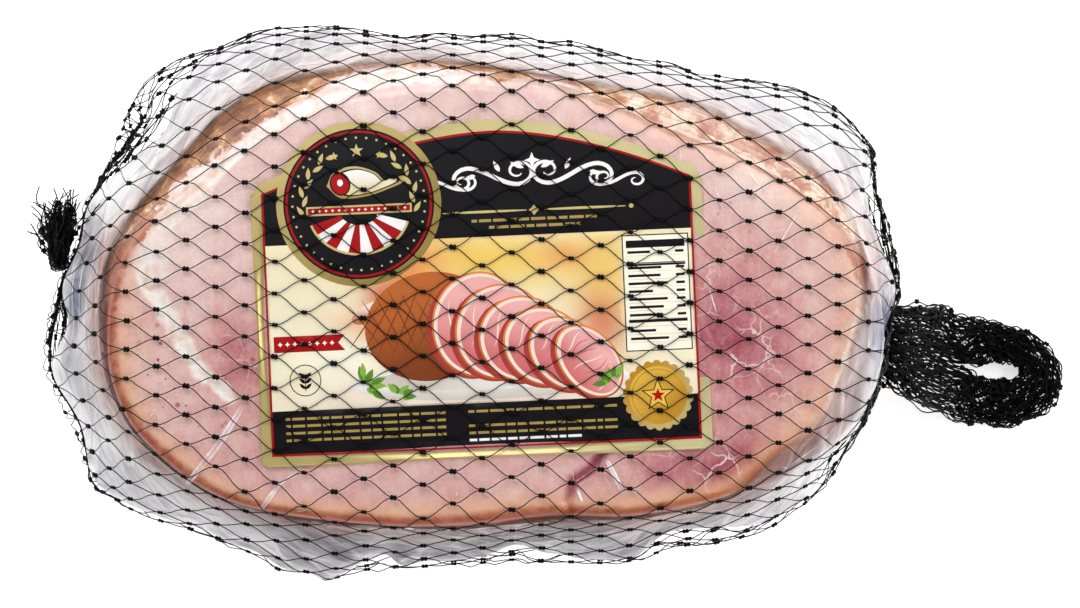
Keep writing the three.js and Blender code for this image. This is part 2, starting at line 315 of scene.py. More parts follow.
def add_node(tree: NodeTree, kind: str, settings: dict | None = None, **sockets: object) -> bpy.types.Node:
    """Adds one node with its settings, values and links.

    Args:
        tree: The node tree.
        kind: The node's type, such as "ShaderNodeMath".
        settings: Properties of the node by name; "stops" are the places and hex colours of a ramp.
        **sockets: Inputs by name with spaces as underscores, or by number as i0, i1 and so on. Each is
            an output socket to link or a value to set.

    Returns:
        The node.
    """
    node = tree.nodes.new(kind)
    for name, value in (settings or {}).items():
        if name != "stops":
            setattr(node, name, value)
            continue
        for _ in value[2:]:
            node.color_ramp.elements.new(0.5)
        for element, (at, colour) in zip(node.color_ramp.elements, value):
            element.position, element.color = at, linear(colour)
    for name, value in sockets.items():
        key = int(name[1:]) if name[0] == "i" and name[1:].isdigit() else name.replace("_", " ")
        socket = node.inputs[key]
        if isinstance(value, Socket):
            tree.links.new(value, socket)
        else:
            socket.default_value = value
    return node


def new_material(name: str) -> bpy.types.Material:
    """A material with an empty node tree.

    Args:
        name: Its name.

    Returns:
        The material.
    """
    material = bpy.data.materials.new(name)
    material.use_nodes = True
    material.node_tree.nodes.clear()
    return material


class Kind(Enum):
    """The nodes of the finishes: their type, settings, the order their values are given in, and output."""

    PLUS = ("ShaderNodeMath", {"operation": "ADD"}, (0, 1), 0)
    MINUS = ("ShaderNodeMath", {"operation": "SUBTRACT"}, (0, 1), 0)
    TIMES = ("ShaderNodeMath", {"operation": "MULTIPLY"}, (0, 1), 0)
    SCALED = ("ShaderNodeMath", {"operation": "MULTIPLY_ADD"}, (0, 1, 2), 0)
    POWER = ("ShaderNodeMath", {"operation": "POWER"}, (0, 1), 0)
    LEAST = ("ShaderNodeMath", {"operation": "MINIMUM"}, (0, 1), 0)
    MOST = ("ShaderNodeMath", {"operation": "MAXIMUM"}, (0, 1), 0)
    STEP = ("ShaderNodeMapRange", {"interpolation_type": "SMOOTHSTEP"}, (0, 1, 2), 0)
    STRETCH = ("ShaderNodeVectorMath", {"operation": "MULTIPLY"}, (0, 1), 0)
    PUSH = ("ShaderNodeVectorMath", {"operation": "MULTIPLY_ADD"}, (0, 1, 2), 0)
    MIX = ("ShaderNodeMix", {"data_type": "RGBA", "blend_type": "MIX"}, (0, 6, 7), 2)
    TINT = ("ShaderNodeMix", {"data_type": "RGBA", "blend_type": "MULTIPLY"}, (0, 6, 7), 2)
    GREY = ("ShaderNodeCombineColor", {}, (0, 1, 2), 0)
    FIRST = ("ShaderNodeSeparateColor", {}, (0,), 0)
    RAMP = ("ShaderNodeValToRGB", {}, ("Fac", "stops"), "Color")
    GIVEN = ("ShaderNodeAttribute", {}, ("attribute_name",), "Fac")
    PLACE = ("ShaderNodeTexCoord", {}, (), "Object")
    NOISE = ("ShaderNodeTexNoise", {}, ("Vector", "Scale", "Detail"), 0)
    CELLS = ("ShaderNodeTexVoronoi", {}, ("Vector", "Scale"), "Color")
    CELL_EDGES = ("ShaderNodeTexVoronoi", {"feature": "DISTANCE_TO_EDGE"}, ("Vector", "Scale"), "Distance")
    DOTS = ("ShaderNodeTexVoronoi", {"voronoi_dimensions": "2D"}, ("Vector", "Scale"), "Distance")
    BUMP = ("ShaderNodeBump", {}, ("Height", "Distance", "Strength"), "Normal")
    FACING = ("ShaderNodeLayerWeight", {}, ("Blend", "Normal"), "Facing")
    RAY = ("ShaderNodeLightPath", {}, (), "Is Shadow Ray")
    SURFACE = ("ShaderNodeBsdfPrincipled", {}, ("Base Color", "Roughness", "Normal"), 0)
    GLOSS = ("ShaderNodeBsdfGlossy", {}, ("Roughness", "Normal"), 0)
    CLEAR = ("ShaderNodeBsdfTransparent", {}, (), 0)
    LAYERED = ("ShaderNodeMixShader", {}, (0, 1, 2), 0)


@dataclass(frozen=True)
class Shading:
    """One material and the means to build its node tree."""

    material: bpy.types.Material

    def add(self, kind: Kind, *values: object, out: int | str | None = None, **sockets: object) -> Socket:
        """Adds one node of a listed kind.

        Args:
            kind: The kind of node.
            *values: Its values in the kind's own order; those with small letters are settings.
            out: The output that is wanted, if not the kind's usual one.
            **sockets: Further inputs, by name with spaces as underscores.

        Returns:
            The output.
        """
        node_type, settings, order, usual = kind.value
        settings = dict(settings)
        for key, value in zip(order, values):
            if str(key).islower():
                settings[key] = value
            else:
                sockets[f"i{key}" if isinstance(key, int) else key] = value
        node = add_node(self.material.node_tree, node_type, settings, **sockets)
        return node.outputs[usual if out is None else out]

    def warped(self, where: Socket, size: float, reach: float, stretch: Triple = (1.0, 1.0, 1.0)) -> Socket:
        """A place stretched along its axes and pushed about by noise, both given in millimetres.

        Args:
            where: The place.
            size: How broad the pushes are.
            reach: How far they go.
            stretch: What each axis is multiplied by first.

        Returns:
            The new place.
        """
        scaled = self.add(Kind.STRETCH, where, stretch)
        push = self.add(Kind.NOISE, scaled, 1.0 / (size * MILLIMETRE), 2.0, out=1)
        return self.add(Kind.PUSH, push, (2 * reach * MILLIMETRE,) * 3, scaled)

    def grain(self, size: float, where: Socket | None = None, detail: float = 3.0) -> Socket:
        """Noise from 0 to 1 with lumps of a real size.

        Args:
            size: Size of a lump in millimetres.
            where: The place, or none for the shaded point on the piece.
            detail: How many finer layers the noise has.

        Returns:
            The noise.
        """
        place = self.add(Kind.PLACE) if where is None else where
        return self.add(Kind.NOISE, place, 1.0 / (size * MILLIMETRE), detail)

    def done(self, surface: Socket) -> bpy.types.Material:
        """Links the last shader to the output and gives back the material."""
        add_node(self.material.node_tree, "ShaderNodeOutputMaterial", Surface=surface)
        return self.material


@dataclass(frozen=True)
class CuredMeat:
    """Cooked, cured and smoked pork, cut with a knife: moist pink meat, white fat and a browned rind.

    The eye gets a soft satin surface, pale at the top and rosy in the darker muscle, with fine white
    veins, a cream fat rim and blotchy brown skin round the side.
    """

    roughness: float = 0.36
    fibre: float = 1.1  # size of the meat's grain
    mottle: float = 9.0
    vein_cell: float = 8.5  # how far apart the fine white veins run
    speck_cell: float = 5.5
    relief_depth: float = 0.18
    upright: Triple = (1.0, 1.0, 0.35)  # the skin's patches are drawn out down the side
    muscle: Stops = (
        (0.0, "#FBECE4"), (0.2, "#F3D8D1"), (0.4, "#E9C2BC"), (0.6, "#DCA49F"), (0.8, "#C67E82"),
        (1.0, "#A34B5A"),
    )
    by_the_rim: Stops = ((0.0, "#F8E0CC"), (0.5, "#EABA9F"), (1.0, "#CF8B74"))
    white_fat: Stops = ((0.25, "#E4C2AA"), (0.42, "#F3E0D4"), (0.6, "#FCF3EE"))
    skin: Stops = (
        (0.3, "#FAEAD4"), (0.38, "#EBC9A0"), (0.44, "#CF9560"), (0.54, "#B47139"), (0.7, "#80441A"),
    )
    bare_side: Stops = ((0.36, "#F2D2C4"), (0.62, "#D2948A"))
    edge_bands: tuple[tuple[str, Pair, Pair, float, str], ...] = (
        # the attribute, from where to where past the edge it rises and falls, its strength and ink
        ("smoked", (-11.0, -2.5), (0.0, 2.0), 0.75, "#E6A87E"),
        ("smoked", (-5.2, -1.9), (1.0, 3.0), 0.9, "#B9622F"),
        ("charred", (-3.8, -0.8), (1.6, 3.4), 1.0, "#9C3E14"),
    )
    browned_ink: str = "#A56C44"
    cut_ink: str = "#6B3A2C"  # of the slices' cut lines
    cut_strength: float = 0.4
    burnt_ink: str = "#9A4020"
    burnt_strength: float = 0.85
    burnt_reach: Pair = (1.0, 5.5)  # past the edge, over which it fades
    paling: float = 0.2  # how far a pale side moves the skin's colour up its scale

    def material(self) -> bpy.types.Material:
        """Builds the material.

        Returns:
            The material.
        """
        s = Shading(new_material("cured_pork"))
        colour = self.lean(s)
        colour = self.fat(s, colour)
        colour = self.side(s, colour)
        colour = self.rim(s, colour)
        relief = s.add(Kind.PLUS, s.grain(self.fibre), s.add(Kind.TIMES, s.grain(3.5), 1.4))
        shine = s.add(Kind.SCALED, s.grain(4.0), 0.18, self.roughness - 0.09)
        normal = s.add(Kind.BUMP, relief, self.relief_depth * MILLIMETRE)
        return s.done(s.add(Kind.SURFACE, colour, shine, normal, IOR=1.4))

    def lean(self, s: Shading) -> Socket:
        """The pink of the cut muscle, with its grain, veins and specks.

        Args:
            s: The material that is built.

        Returns:
            The muscle's colour.
        """
        mottled = s.add(Kind.SCALED, s.grain(self.mottle), 0.36, -0.18)
        fine = s.add(Kind.SCALED, s.grain(self.fibre, detail=2.0), 0.22, -0.11)
        bundles = s.grain(3.2, s.warped(s.add(Kind.PLACE), 13.0, 8.0, (1.0, 0.5, 1.0)), detail=4.0)
        tone = s.add(Kind.PLUS, s.add(Kind.GIVEN, "tone"), s.add(Kind.PLUS, mottled, fine))
        tone = s.add(Kind.SCALED, bundles, 0.3, s.add(Kind.PLUS, tone, -0.15))
        warm = s.add(Kind.TIMES, s.add(Kind.GIVEN, "warm"), 0.85)
        rosy, peachy = s.add(Kind.RAMP, tone, self.muscle), s.add(Kind.RAMP, tone, self.by_the_rim)
        return self.specks(s, self.veins(s, s.add(Kind.MIX, warm, rosy, peachy)))

    def veins(self, s: Shading, colour: Socket) -> Socket:
        """Fine white lines of fat between the bundles of muscle.

        Args:
            s: The material that is built.
            colour: The colour so far.

        Returns:
            The colour with veins.
        """
        bundles = s.warped(s.add(Kind.PLACE), 6.0, 3.0)
        edges = s.add(Kind.CELL_EDGES, bundles, 1.0 / (self.vein_cell * MILLIMETRE))
        line = s.add(Kind.MINUS, 1.0, s.add(Kind.STEP, edges, 0.0, 0.05))
        patchy = s.add(Kind.STEP, s.grain(14.0, detail=1.0), 0.42, 0.66)
        share = s.add(Kind.TIMES, line, s.add(Kind.TIMES, patchy, s.add(Kind.GIVEN, "veined")))
        return s.add(Kind.MIX, share, colour, linear("#EFD8D2"))

    def specks(self, s: Shading, colour: Socket) -> Socket:
        """Small red brown dots where vessels were cut.

        Args:
            s: The material that is built.
            colour: The colour so far.

        Returns:
            The colour with specks.
        """
        spots = s.warped(s.add(Kind.PLACE), 2.5, 0.6)
        away = s.add(Kind.DOTS, spots, 1.0 / (self.speck_cell * MILLIMETRE))
        size = s.add(Kind.SCALED, s.grain(9.0, detail=1.0), 0.5, -0.13)
        dot = s.add(Kind.STEP, s.add(Kind.MINUS, size, away), 0.0, 0.05)
        share = s.add(Kind.TIMES, dot, s.add(Kind.GIVEN, "specked"))
        return s.add(Kind.MIX, share, colour, linear("#A0433A"))

    def fat(self, s: Shading, colour: Socket) -> Socket:
        """The white rim and seams, given by how far inside them a place lies.

        Args:
            s: The material that is built.
            colour: The colour so far.

        Returns:
            The colour with fat.
        """
        ragged = s.add(Kind.SCALED, s.grain(6.0), 3.2, -1.6)
        share = s.add(Kind.STEP, s.add(Kind.PLUS, s.add(Kind.GIVEN, "fat"), ragged), -0.5, 0.9)
        swirled = s.grain(5.0, s.warped(s.add(Kind.PLACE), 9.0, 6.0, self.upright), detail=3.0)
        return s.add(Kind.MIX, share, colour, s.add(Kind.RAMP, swirled, self.white_fat))

    def rim(self, s: Shading, colour: Socket) -> Socket:
        """The smoked edge of the cut face: peach, then brown, then a dark red line.

        Args:
            s: The material that is built.
            colour: The colour so far.

        Returns:
            The colour with its smoked edge.
        """
        out = s.add(Kind.PLUS, s.add(Kind.GIVEN, "out"), s.add(Kind.SCALED, s.grain(5.0), 2.0, -1.0))
        wavy = s.add(Kind.SCALED, s.grain(3.4, detail=4.0), 6.0, -3.0)
        ragged = s.add(Kind.PLUS, s.add(Kind.GIVEN, "out"), wavy)
        for where, inner, outer, strength, ink in self.edge_bands:
            place = ragged if where == "charred" else out
            band = s.add(Kind.MINUS, s.add(Kind.STEP, place, *inner), s.add(Kind.STEP, place, *outer))
            share = s.add(Kind.TIMES, s.add(Kind.TIMES, s.add(Kind.GIVEN, where), band), strength)
            colour = s.add(Kind.MIX, share, colour, linear(ink))
        within = s.add(Kind.MINUS, 1.0, s.add(Kind.STEP, out, 0.3, 2.0))
        line = s.add(Kind.TIMES, s.add(Kind.STEP, out, -1.8, -0.4), within)
        share = s.add(Kind.TIMES, line, s.add(Kind.GIVEN, "browned"))
        return s.add(Kind.MIX, share, colour, linear(self.browned_ink))

    def side(self, s: Shading, colour: Socket) -> Socket:
        """The skin round the side, brown and streaky, with the slices' cut lines.

        Args:
            s: The material that is built.
            colour: The colour so far.

        Returns:
            The colour with the skin round it.
        """
        swirls = s.warped(s.add(Kind.PLACE), 8.0, 7.0, self.upright)
        ragged = s.add(Kind.SCALED, s.grain(6.0, swirls, detail=4.0), 12.0, -6.0)
        outside = s.add(Kind.STEP, s.add(Kind.PLUS, s.add(Kind.GIVEN, "rind"), ragged), -0.4, 0.5)
        streaks = s.add(Kind.SCALED, s.grain(1.6, swirls), 0.3, -0.15)
        streaky = s.add(Kind.PLUS, s.grain(7.0, swirls, detail=5.0), streaks)
        blotch = s.add(Kind.PLUS, streaky, s.add(Kind.TIMES, s.add(Kind.GIVEN, "pale"), -self.paling))
        skin, bare = s.add(Kind.RAMP, blotch, self.skin), s.add(Kind.RAMP, streaky, self.bare_side)
        skin = s.add(Kind.MIX, s.add(Kind.GIVEN, "fleshy"), skin, bare)
        scored = s.add(Kind.TIMES, s.add(Kind.GIVEN, "cut"), self.cut_strength)
        skin = s.add(Kind.MIX, scored, skin, linear(self.cut_ink))
        fading = s.add(Kind.STEP, s.add(Kind.GIVEN, "out"), *self.burnt_reach)
        under_edge = s.add(Kind.MINUS, self.burnt_strength, fading)
        burnt = s.add(Kind.TIMES, s.add(Kind.GIVEN, "charred"), under_edge)
        skin = s.add(Kind.MIX, burnt, skin, linear(self.burnt_ink))
        return s.add(Kind.MIX, outside, colour, skin)


@dataclass(frozen=True)
class BagFilm:
    """Shrunk polyethylene bag film, blown and heat sealed: thin, clear where tight, milky in its folds.

    The eye gets nothing but sharp white glints over the meat, and grey white veils with fine streaks
    where spare film stands off it. The veils' greys and whites are painted light and shade, with patches
    of painted shade, some blue grey, and a painted glow of the meat's colour next to it.
    """

    roughness: float = 0.14
    mirror: float = 0.022  # share of light that bounces straight off its face
    rim_mirror: float = 0.07  # and how much more where it is seen edge on
    glow_through: float = 0.7  # share of the light that milky film lets through, softly
    fold: float = 3.0  # width of the fine streaks
    facet: float = 8.0  # size of the flats between creases
    fold_depth: float = 1.2
    cloudy_roughness: float = 0.3  # of the milky folds
    broad_fold: float = 14.0
    ridge_width: float = 0.09  # as a share of a facet
    # painted highlight along the ridges between the facets
    ridge_light: float = 0.2
    ridge_height: float = 0.4
    milk_contrast: float = 1.7
    milk_limit: float = 0.97
    # the folds' greys and whites are painted light and shade: streaks, broad folds and facets are drawn
    # lighter and darker about a middle
    light_change: float = 0.27  # of the folds' light, about its middle
    light_middle: float = 0.58
    # painted shade: how much darker it draws the folds
    dusk: float = 0.38  # how much darker the shaded folds are
    # the meat's colour painted into the film beside it as a glow
    blush_ink: str = "#CF9C8E"
    # ink of the painted blue grey shade in the folds
    blue_ink: str = "#636C88"
    # painted light and shade of the milky film, from shaded grey to lit white
    shades: Stops = (
        (0.12, "#817D83"), (0.3, "#B9B6BB"), (0.46, "#DFDDE1"), (0.6, "#F1F0F3"), (0.8, "#FFFFFF"),
    )

    def material(self) -> bpy.types.Material:
        """Builds the material.

        Returns:
            The material.
        """
        s = Shading(new_material("bag_film"))
        along = s.add(Kind.GIVEN, "crease", out="Vector")
        streaks = s.grain(self.fold, along, detail=4.0)
        broad = s.grain(self.broad_fold, along, detail=3.0)
        creased = s.warped(along, 12.0, 5.0)
        size = 1.0 / (self.facet * MILLIMETRE)
        facet = s.add(Kind.FIRST, s.add(Kind.CELLS, creased, size))
        inside = s.add(Kind.STEP, s.add(Kind.CELL_EDGES, creased, size), 0.0, self.ridge_width)
        ridge = s.add(Kind.MINUS, 1.0, inside)
        folded = s.add(Kind.SCALED, broad, 1.2, -0.6)
        uneven = s.add(Kind.PLUS, s.add(Kind.SCALED, streaks, 2.0, -1.0), folded)
        uneven = s.add(Kind.PLUS, uneven, s.add(Kind.SCALED, facet, 0.5, -0.25))
        veil = s.add(Kind.GIVEN, "milk")
        room = s.add(Kind.TIMES, veil, s.add(Kind.MINUS, 1.2, veil))
        milk = s.add(Kind.SCALED, s.add(Kind.TIMES, uneven, room), self.milk_contrast, veil)
        milk = s.add(Kind.LEAST, s.add(Kind.MOST, milk, 0.0), self.milk_limit)
        # painted light and shade of the folds, with a painted highlight on the ridges
        folds = s.add(Kind.SCALED, uneven, self.light_change, self.light_middle)
        light = s.add(Kind.PLUS, folds, s.add(Kind.TIMES, ridge, self.ridge_light))
        # painted shade darkens the folds where the attribute says
        light = s.add(Kind.PLUS, light, s.add(Kind.TIMES, s.add(Kind.GIVEN, "dusk"), -self.dusk))
        tint = s.add(Kind.RAMP, light, self.shades)
        # painted glow: the film beside the meat is tinted with its colour
        tint = s.add(Kind.TINT, s.add(Kind.GIVEN, "blush"), tint, linear(self.blush_ink))
        # painted blue grey shade along the streaks where the attribute says
        blue_shade_share = s.add(Kind.TIMES, s.add(Kind.STEP, streaks, 0.2, 0.48), s.add(Kind.GIVEN, "blue"))
        tint = s.add(Kind.MIX, blue_shade_share, tint, linear(self.blue_ink))
        rippled = s.add(Kind.PLUS, streaks, broad)
        height = s.add(Kind.PLUS, rippled, s.add(Kind.TIMES, ridge, self.ridge_height))
        height = s.add(Kind.TIMES, height, s.add(Kind.STEP, veil, 0.02, 0.3))
        normal = s.add(Kind.BUMP, height, self.fold_depth * MILLIMETRE, 0.8)
        cloudy = s.add(Kind.SURFACE, tint, self.cloudy_roughness, normal, IOR=1.5)
        blocked = s.add(Kind.TIMES, milk, s.add(Kind.SCALED, s.add(Kind.RAY), -self.glow_through, 1.0))
        veiled = s.add(Kind.LAYERED, blocked, s.add(Kind.CLEAR), cloudy)
        grazing = s.add(Kind.POWER, s.add(Kind.FACING, 0.5, normal), 5.0)
        share = s.add(Kind.SCALED, grazing, self.rim_mirror, self.mirror)
        return s.done(s.add(Kind.LAYERED, share, veiled, s.add(Kind.GLOSS, self.roughness, normal)))


@dataclass(frozen=True)
class PrintedSheet:
    """Coated label paper, offset printed and varnished: flat inks with a satin gloss, warm gold borders."""

    roughness: float = 0.42
    ripple_depth: float = 0.5

    def material(self) -> bpy.types.Material:
        """Builds the material.

        Returns:
            The material.
        """
        s = Shading(new_material("varnished_label_paper"))
        ink = s.add(Kind.GIVEN, "ink", out="Color")
        foil = s.add(Kind.GIVEN, "foil")
        # painted sheen: soft lighter and darker patches over every ink, with the paper's fine fibre
        painted_sheen = s.add(Kind.SCALED, s.grain(16.0, detail=4.0), 0.24, 0.88)
        fibre = s.add(Kind.SCALED, s.grain(0.9), 0.08, 0.96)
        shade = s.add(Kind.TIMES, painted_sheen, fibre)
        colour = s.add(Kind.TINT, 1.0, ink, s.add(Kind.GREY, shade, shade, shade))
        gloss = s.add(Kind.SCALED, foil, -0.12, self.roughness)
        normal = s.add(Kind.BUMP, s.grain(22.0, detail=2.0), self.ripple_depth * MILLIMETRE)
        metallic = s.add(Kind.TIMES, foil, 0.35)
        return s.done(s.add(Kind.SURFACE, colour, gloss, normal, Metallic=metallic, Specular_IOR_Level=0.2))


@dataclass(frozen=True)
class BlackTwine:
    """Extruded and drawn black polyethylene net strand: deep black with a soft, narrow sheen."""

    roughness: float = 0.45
    score_depth: float = 0.05

    def material(self) -> bpy.types.Material:
        """Builds the material.

        Returns:
            The material.
        """
        s = Shading(new_material("black_polyethylene_strand"))
        colour = s.add(Kind.RAMP, s.grain(1.5), ((0.3, "#020202"), (0.7, "#0D0C0E")))
        sheen = s.add(Kind.SCALED, s.grain(0.8), 0.2, self.roughness - 0.1)
        normal = s.add(Kind.BUMP, s.grain(0.5), self.score_depth * MILLIMETRE)
        return s.done(s.add(Kind.SURFACE, colour, sheen, normal, Specular_IOR_Level=0.08))


# ---- The pack's form, by the same rules as its solid ----


@dataclass(frozen=True)
class Bump:
    """A bulge of an outline: its direction in degrees, how far it stands out, and half its spread."""

    at: float
    out: float
    spread: float


def bumps(*rows: Triple) -> tuple[Bump, ...]:
    """A list of bumps, each given as its direction, how far it stands out and half its spread."""
    return tuple(Bump(*row) for row in rows)


def bumps_at(angle: Array, rows: Sequence[Bump]) -> Array:
    """How far a list of bumps stands out at angles in radians.

    Args:
        angle: The angles.
        rows: The bumps.

    Returns:
        One sum for each angle.
    """
    out = np.zeros_like(angle)
    for bump in rows:
        away = np.mod(angle - math.radians(bump.at) + math.pi, 2 * math.pi) - math.pi
        out += bump.out * hill(away, math.radians(bump.spread))
    return out


def oval_radius(angle: Array, length: float, width: float, roundness: float) -> Array:
    """Radius of a superellipse at angles in radians.

    Args:
        angle: The angles.
        length: Its length.
        width: Its width.
        roundness: Its power; 2 is an ellipse.

    Returns:
        One radius for each angle.
    """
    along = np.abs(np.cos(angle) / (length / 2)) ** roundness
    across = np.abs(np.sin(angle) / (width / 2)) ** roundness
    return (along + across) ** (-1 / roundness)


def polar(angle: Array, radius: Array) -> Array:
    """Places in plan at an angle and a radius."""
    return np.stack([radius * np.cos(angle), radius * np.sin(angle)], axis=1)


@dataclass(frozen=True)
class PackForm:
    """The pack out to its net: a domed oval face over a swelling side with film folds at its waist."""

    length: float = 304.0
    width: float = 188.0
    height: float = 130.0
    roundness: float = 1.9
    face_length: float = 270.0
    face_width: float = 158.4
    face_roundness: float = 2.05
    face_shift: float = 6.5
    face_dome: float = 6.0
    edge_radius: float = 8.0
    side_swell: float = 3.0
    swell_power: float = 2.2
    swell_room: float = 0.8
    waist: float = 66.0
    rest_share: float = 0.54
    back_roundness: float = 2.15
    fold_above: float = 21.0
    fold_below: float = 22.0
    pleat_depth: float = 1.3
    face_bumps: tuple[Bump, ...] = bumps((36, -13, 30), (159, -9.3, 14), (212.5, 10.8, 25), (337, 11, 24))
    swell_bumps: tuple[Bump, ...] = bumps((40, 14, 22), (140, 7, 38))
    edge_bumps: tuple[Bump, ...] = bumps((348, -8.8, 14), (331, -6.0, 7), (181, -2.2, 8), (285, -2.4, 16))
    edge_swells: tuple[Bump, ...] = bumps((199, 2.0, 8), (215, 1.8, 9), (248, 1.3, 12), (303, 1.1, 8))
    rind_bumps: tuple[Bump, ...] = bumps((148, 4.4, 22), (108, 2.8, 20), (18, 6.0, 12), (186, -1.2, 12))
    film_bumps: tuple[Bump, ...] = bumps(
        (26.8, 17.8, 12.9), (124, 11.2, 12.9), (143.7, 17.7, 13.4), (189, 3.4, 5.6), (207.8, 18.3, 13),
        (235.7, 12.5, 15.5), (297.4, 3.2, 8), (323.7, 14.5, 19.2), (174, -7, 6), (354, -3.5, 8),
    )

    @property
    def middle(self) -> Array:
        """The middle of the face in plan."""
        return np.array([self.face_shift, 0.0])

    def top(self, inset: float) -> Array:
        """The highest place of the face, lowered by an inset, as a ring of one point."""
        return np.array([[self.face_shift, 0.0, self.height - inset]])

    def face_height(self, plan: Array) -> Array:
        """Height of the film over the cut face.

        Args:
            plan: Places in plan.

        Returns:
            One height for each place.
        """
        along = (plan[:, 0] - self.face_shift) / (self.face_length / 2)
        across = plan[:, 1] / (self.face_width / 2)
        return self.height - self.face_dome * (along**2 + across**2)

    def face_radius(self, angle: Array) -> Array:
        """Radius of the cut edge about the face's middle."""
        oval = oval_radius(angle, self.face_length, self.face_width, self.face_roundness)
        return oval + bumps_at(angle, self.face_bumps)

    def face_point(self, angle: Array, grown: Array) -> Array:
        """The cut edge in plan, grown outwards by so many millimetres."""
        return polar(angle, self.face_radius(angle) + grown) + self.middle

    def outline_point(self, angle: Array) -> Array:
        """The widest outline in plan, where the film folds stand out.

        Args:
            angle: Directions about the face's middle, in radians.

        Returns:
            Places in plan.
        """
        oval = oval_radius(angle, self.length, self.width, self.roundness)
        pleats = np.sin(23 * angle) + 0.6 * np.sin(37 * angle + 1)
        return polar(angle, oval + bumps_at(angle, self.film_bumps) + self.pleat_depth / 2 * pleats)

    def fold_share(self, height: Array) -> Array:
        """How much of the film fold stands out at a height, from 0 to 1."""
        reach = np.where(height > self.waist, self.fold_above, self.fold_below)
        return hill(height - self.waist, reach)

    def swell(self, angle: Array) -> Array:
        """How far the meat swells past the cut edge at its waist."""
        room = lengths(self.outline_point(angle) - self.face_point(angle, 0 * angle))
        return np.minimum(self.side_swell + bumps_at(angle, self.swell_bumps), self.swell_room * room)

    def edge_height(self, angle: Array) -> Array:
        """Height of the film just under the cut edge."""
        return self.face_height(self.face_point(angle, 0 * angle)) - self.edge_radius

    def meat_edge(self, angle: Array) -> Array:
        """How far the meat's own cut edge stands past the pack's; below 0 is inside it."""
        return bumps_at(angle, self.edge_bumps) + bumps_at(angle, self.edge_swells)

    def film_edge(self, angle: Array) -> Array:
        """How far the film's edge stands past the pack's, where the meat pushes it out."""
        return np.maximum(self.meat_edge(angle), 0)

    def meat_swell(self, angle: Array) -> Array:
        """How far the meat's own side stands past the film's edge at the waist."""
        return self.swell(angle) + bumps_at(angle, self.rind_bumps) + np.minimum(self.meat_edge(angle), 0)

    def meat_point(self, angle: Array, height: Array, edge: Array | None = None) -> Array:
        """The meat's own side in plan at a height, up to its own cut edge or to another one.

        Args:
            angle: Directions about the face's middle, in radians.
            height: Heights, in millimetres.
            edge: How far the edge stands past the pack's.

        Returns:
            Places in plan.
        """
        swell = self.meat_swell(angle)
        edge = self.meat_edge(angle) if edge is None else edge
        up = np.clip((height - self.waist) / (self.edge_height(angle) - self.waist), 0.0, 1.0)
        above = self.face_point(angle, mix(swell, edge, up**self.swell_power))
        down = np.clip((self.waist - height) / self.waist, 0.0, 1.0)
        share = (1 - down**self.back_roundness) ** (1 / self.back_roundness)
        spare = np.maximum(bumps_at(angle, self.rind_bumps), 0) * (1 - self.fold_share(height))
        below = self.face_point(angle, swell - spare) * mix(self.rest_share, 1.0, share)[:, None]
        return np.where((height >= self.waist)[:, None], above, below)

    def face_relief(self, plan: Array) -> Array:
        """How far the cut face stands below its plain dome: soft hollows, seams and a torn slice.

        Args:
            plan: Places in plan.

        Returns:
            One depth for each place.
        """
        hollow = 0.25 * (1 + unevenness(np.c_[plan, 0 * plan[:, 0]], 19.0, 3.0))
        seam = 0.5 * hill(line_distance(plan, FAT_SEAM), 2.2)
        cleft = 2.4 * hill(line_distance(plan, TORN_SLICE), 1.7)
        beside = 0.9 * hill(lengths(plan - np.array(TORN_SLICE[2]) - 4.0), 9.0)
        return hollow + seam + cleft + beside


# Lines on the cut face, in the pack's frame.
FAT_SEAM = ((-116.0, 12.0), (-112.0, 3.5), (-107.7, -3.5), (-99.6, -18.7), (-93.7, -26.8), (-84.5, -34.2))
TORN_SLICE = ((46.0, -52.0), (41.5, -59.5), (35.2, -63.4), (33.3, -70.4), (34.5, -74.0))
SLICE_LIP = ((34.5, -73.5), (46.5, -75.3), (61.0, -76.0))

FORM = PackForm()


# ---- The ham ----


@dataclass(frozen=True)
class Blot:
    """A soft patch on the cut face: its middle, its half sizes and turn, and how strong it is."""

    x: float
    y: float
    length: float
    width: float
    turn: float
    strength: float

    def share(self, plan: Array) -> Array:
        """How strongly the patch shows at places in plan.

        Args:
            plan: Places in plan.

        Returns:
            One strength for each place.
        """
        c, s = math.cos(math.radians(self.turn)), math.sin(math.radians(self.turn))
        away = plan - np.array([self.x, self.y])
        along = (away[:, 0] * c + away[:, 1] * s) / self.length
        across = (away[:, 1] * c - away[:, 0] * s) / self.width
        return self.strength * np.exp(-(along**2 + across**2))


def blots_at(plan: Array, blots: Sequence[Blot]) -> Array:
    """The sum of some patches at places in plan."""
    return np.sum([blot.share(plan) for blot in blots], axis=0)


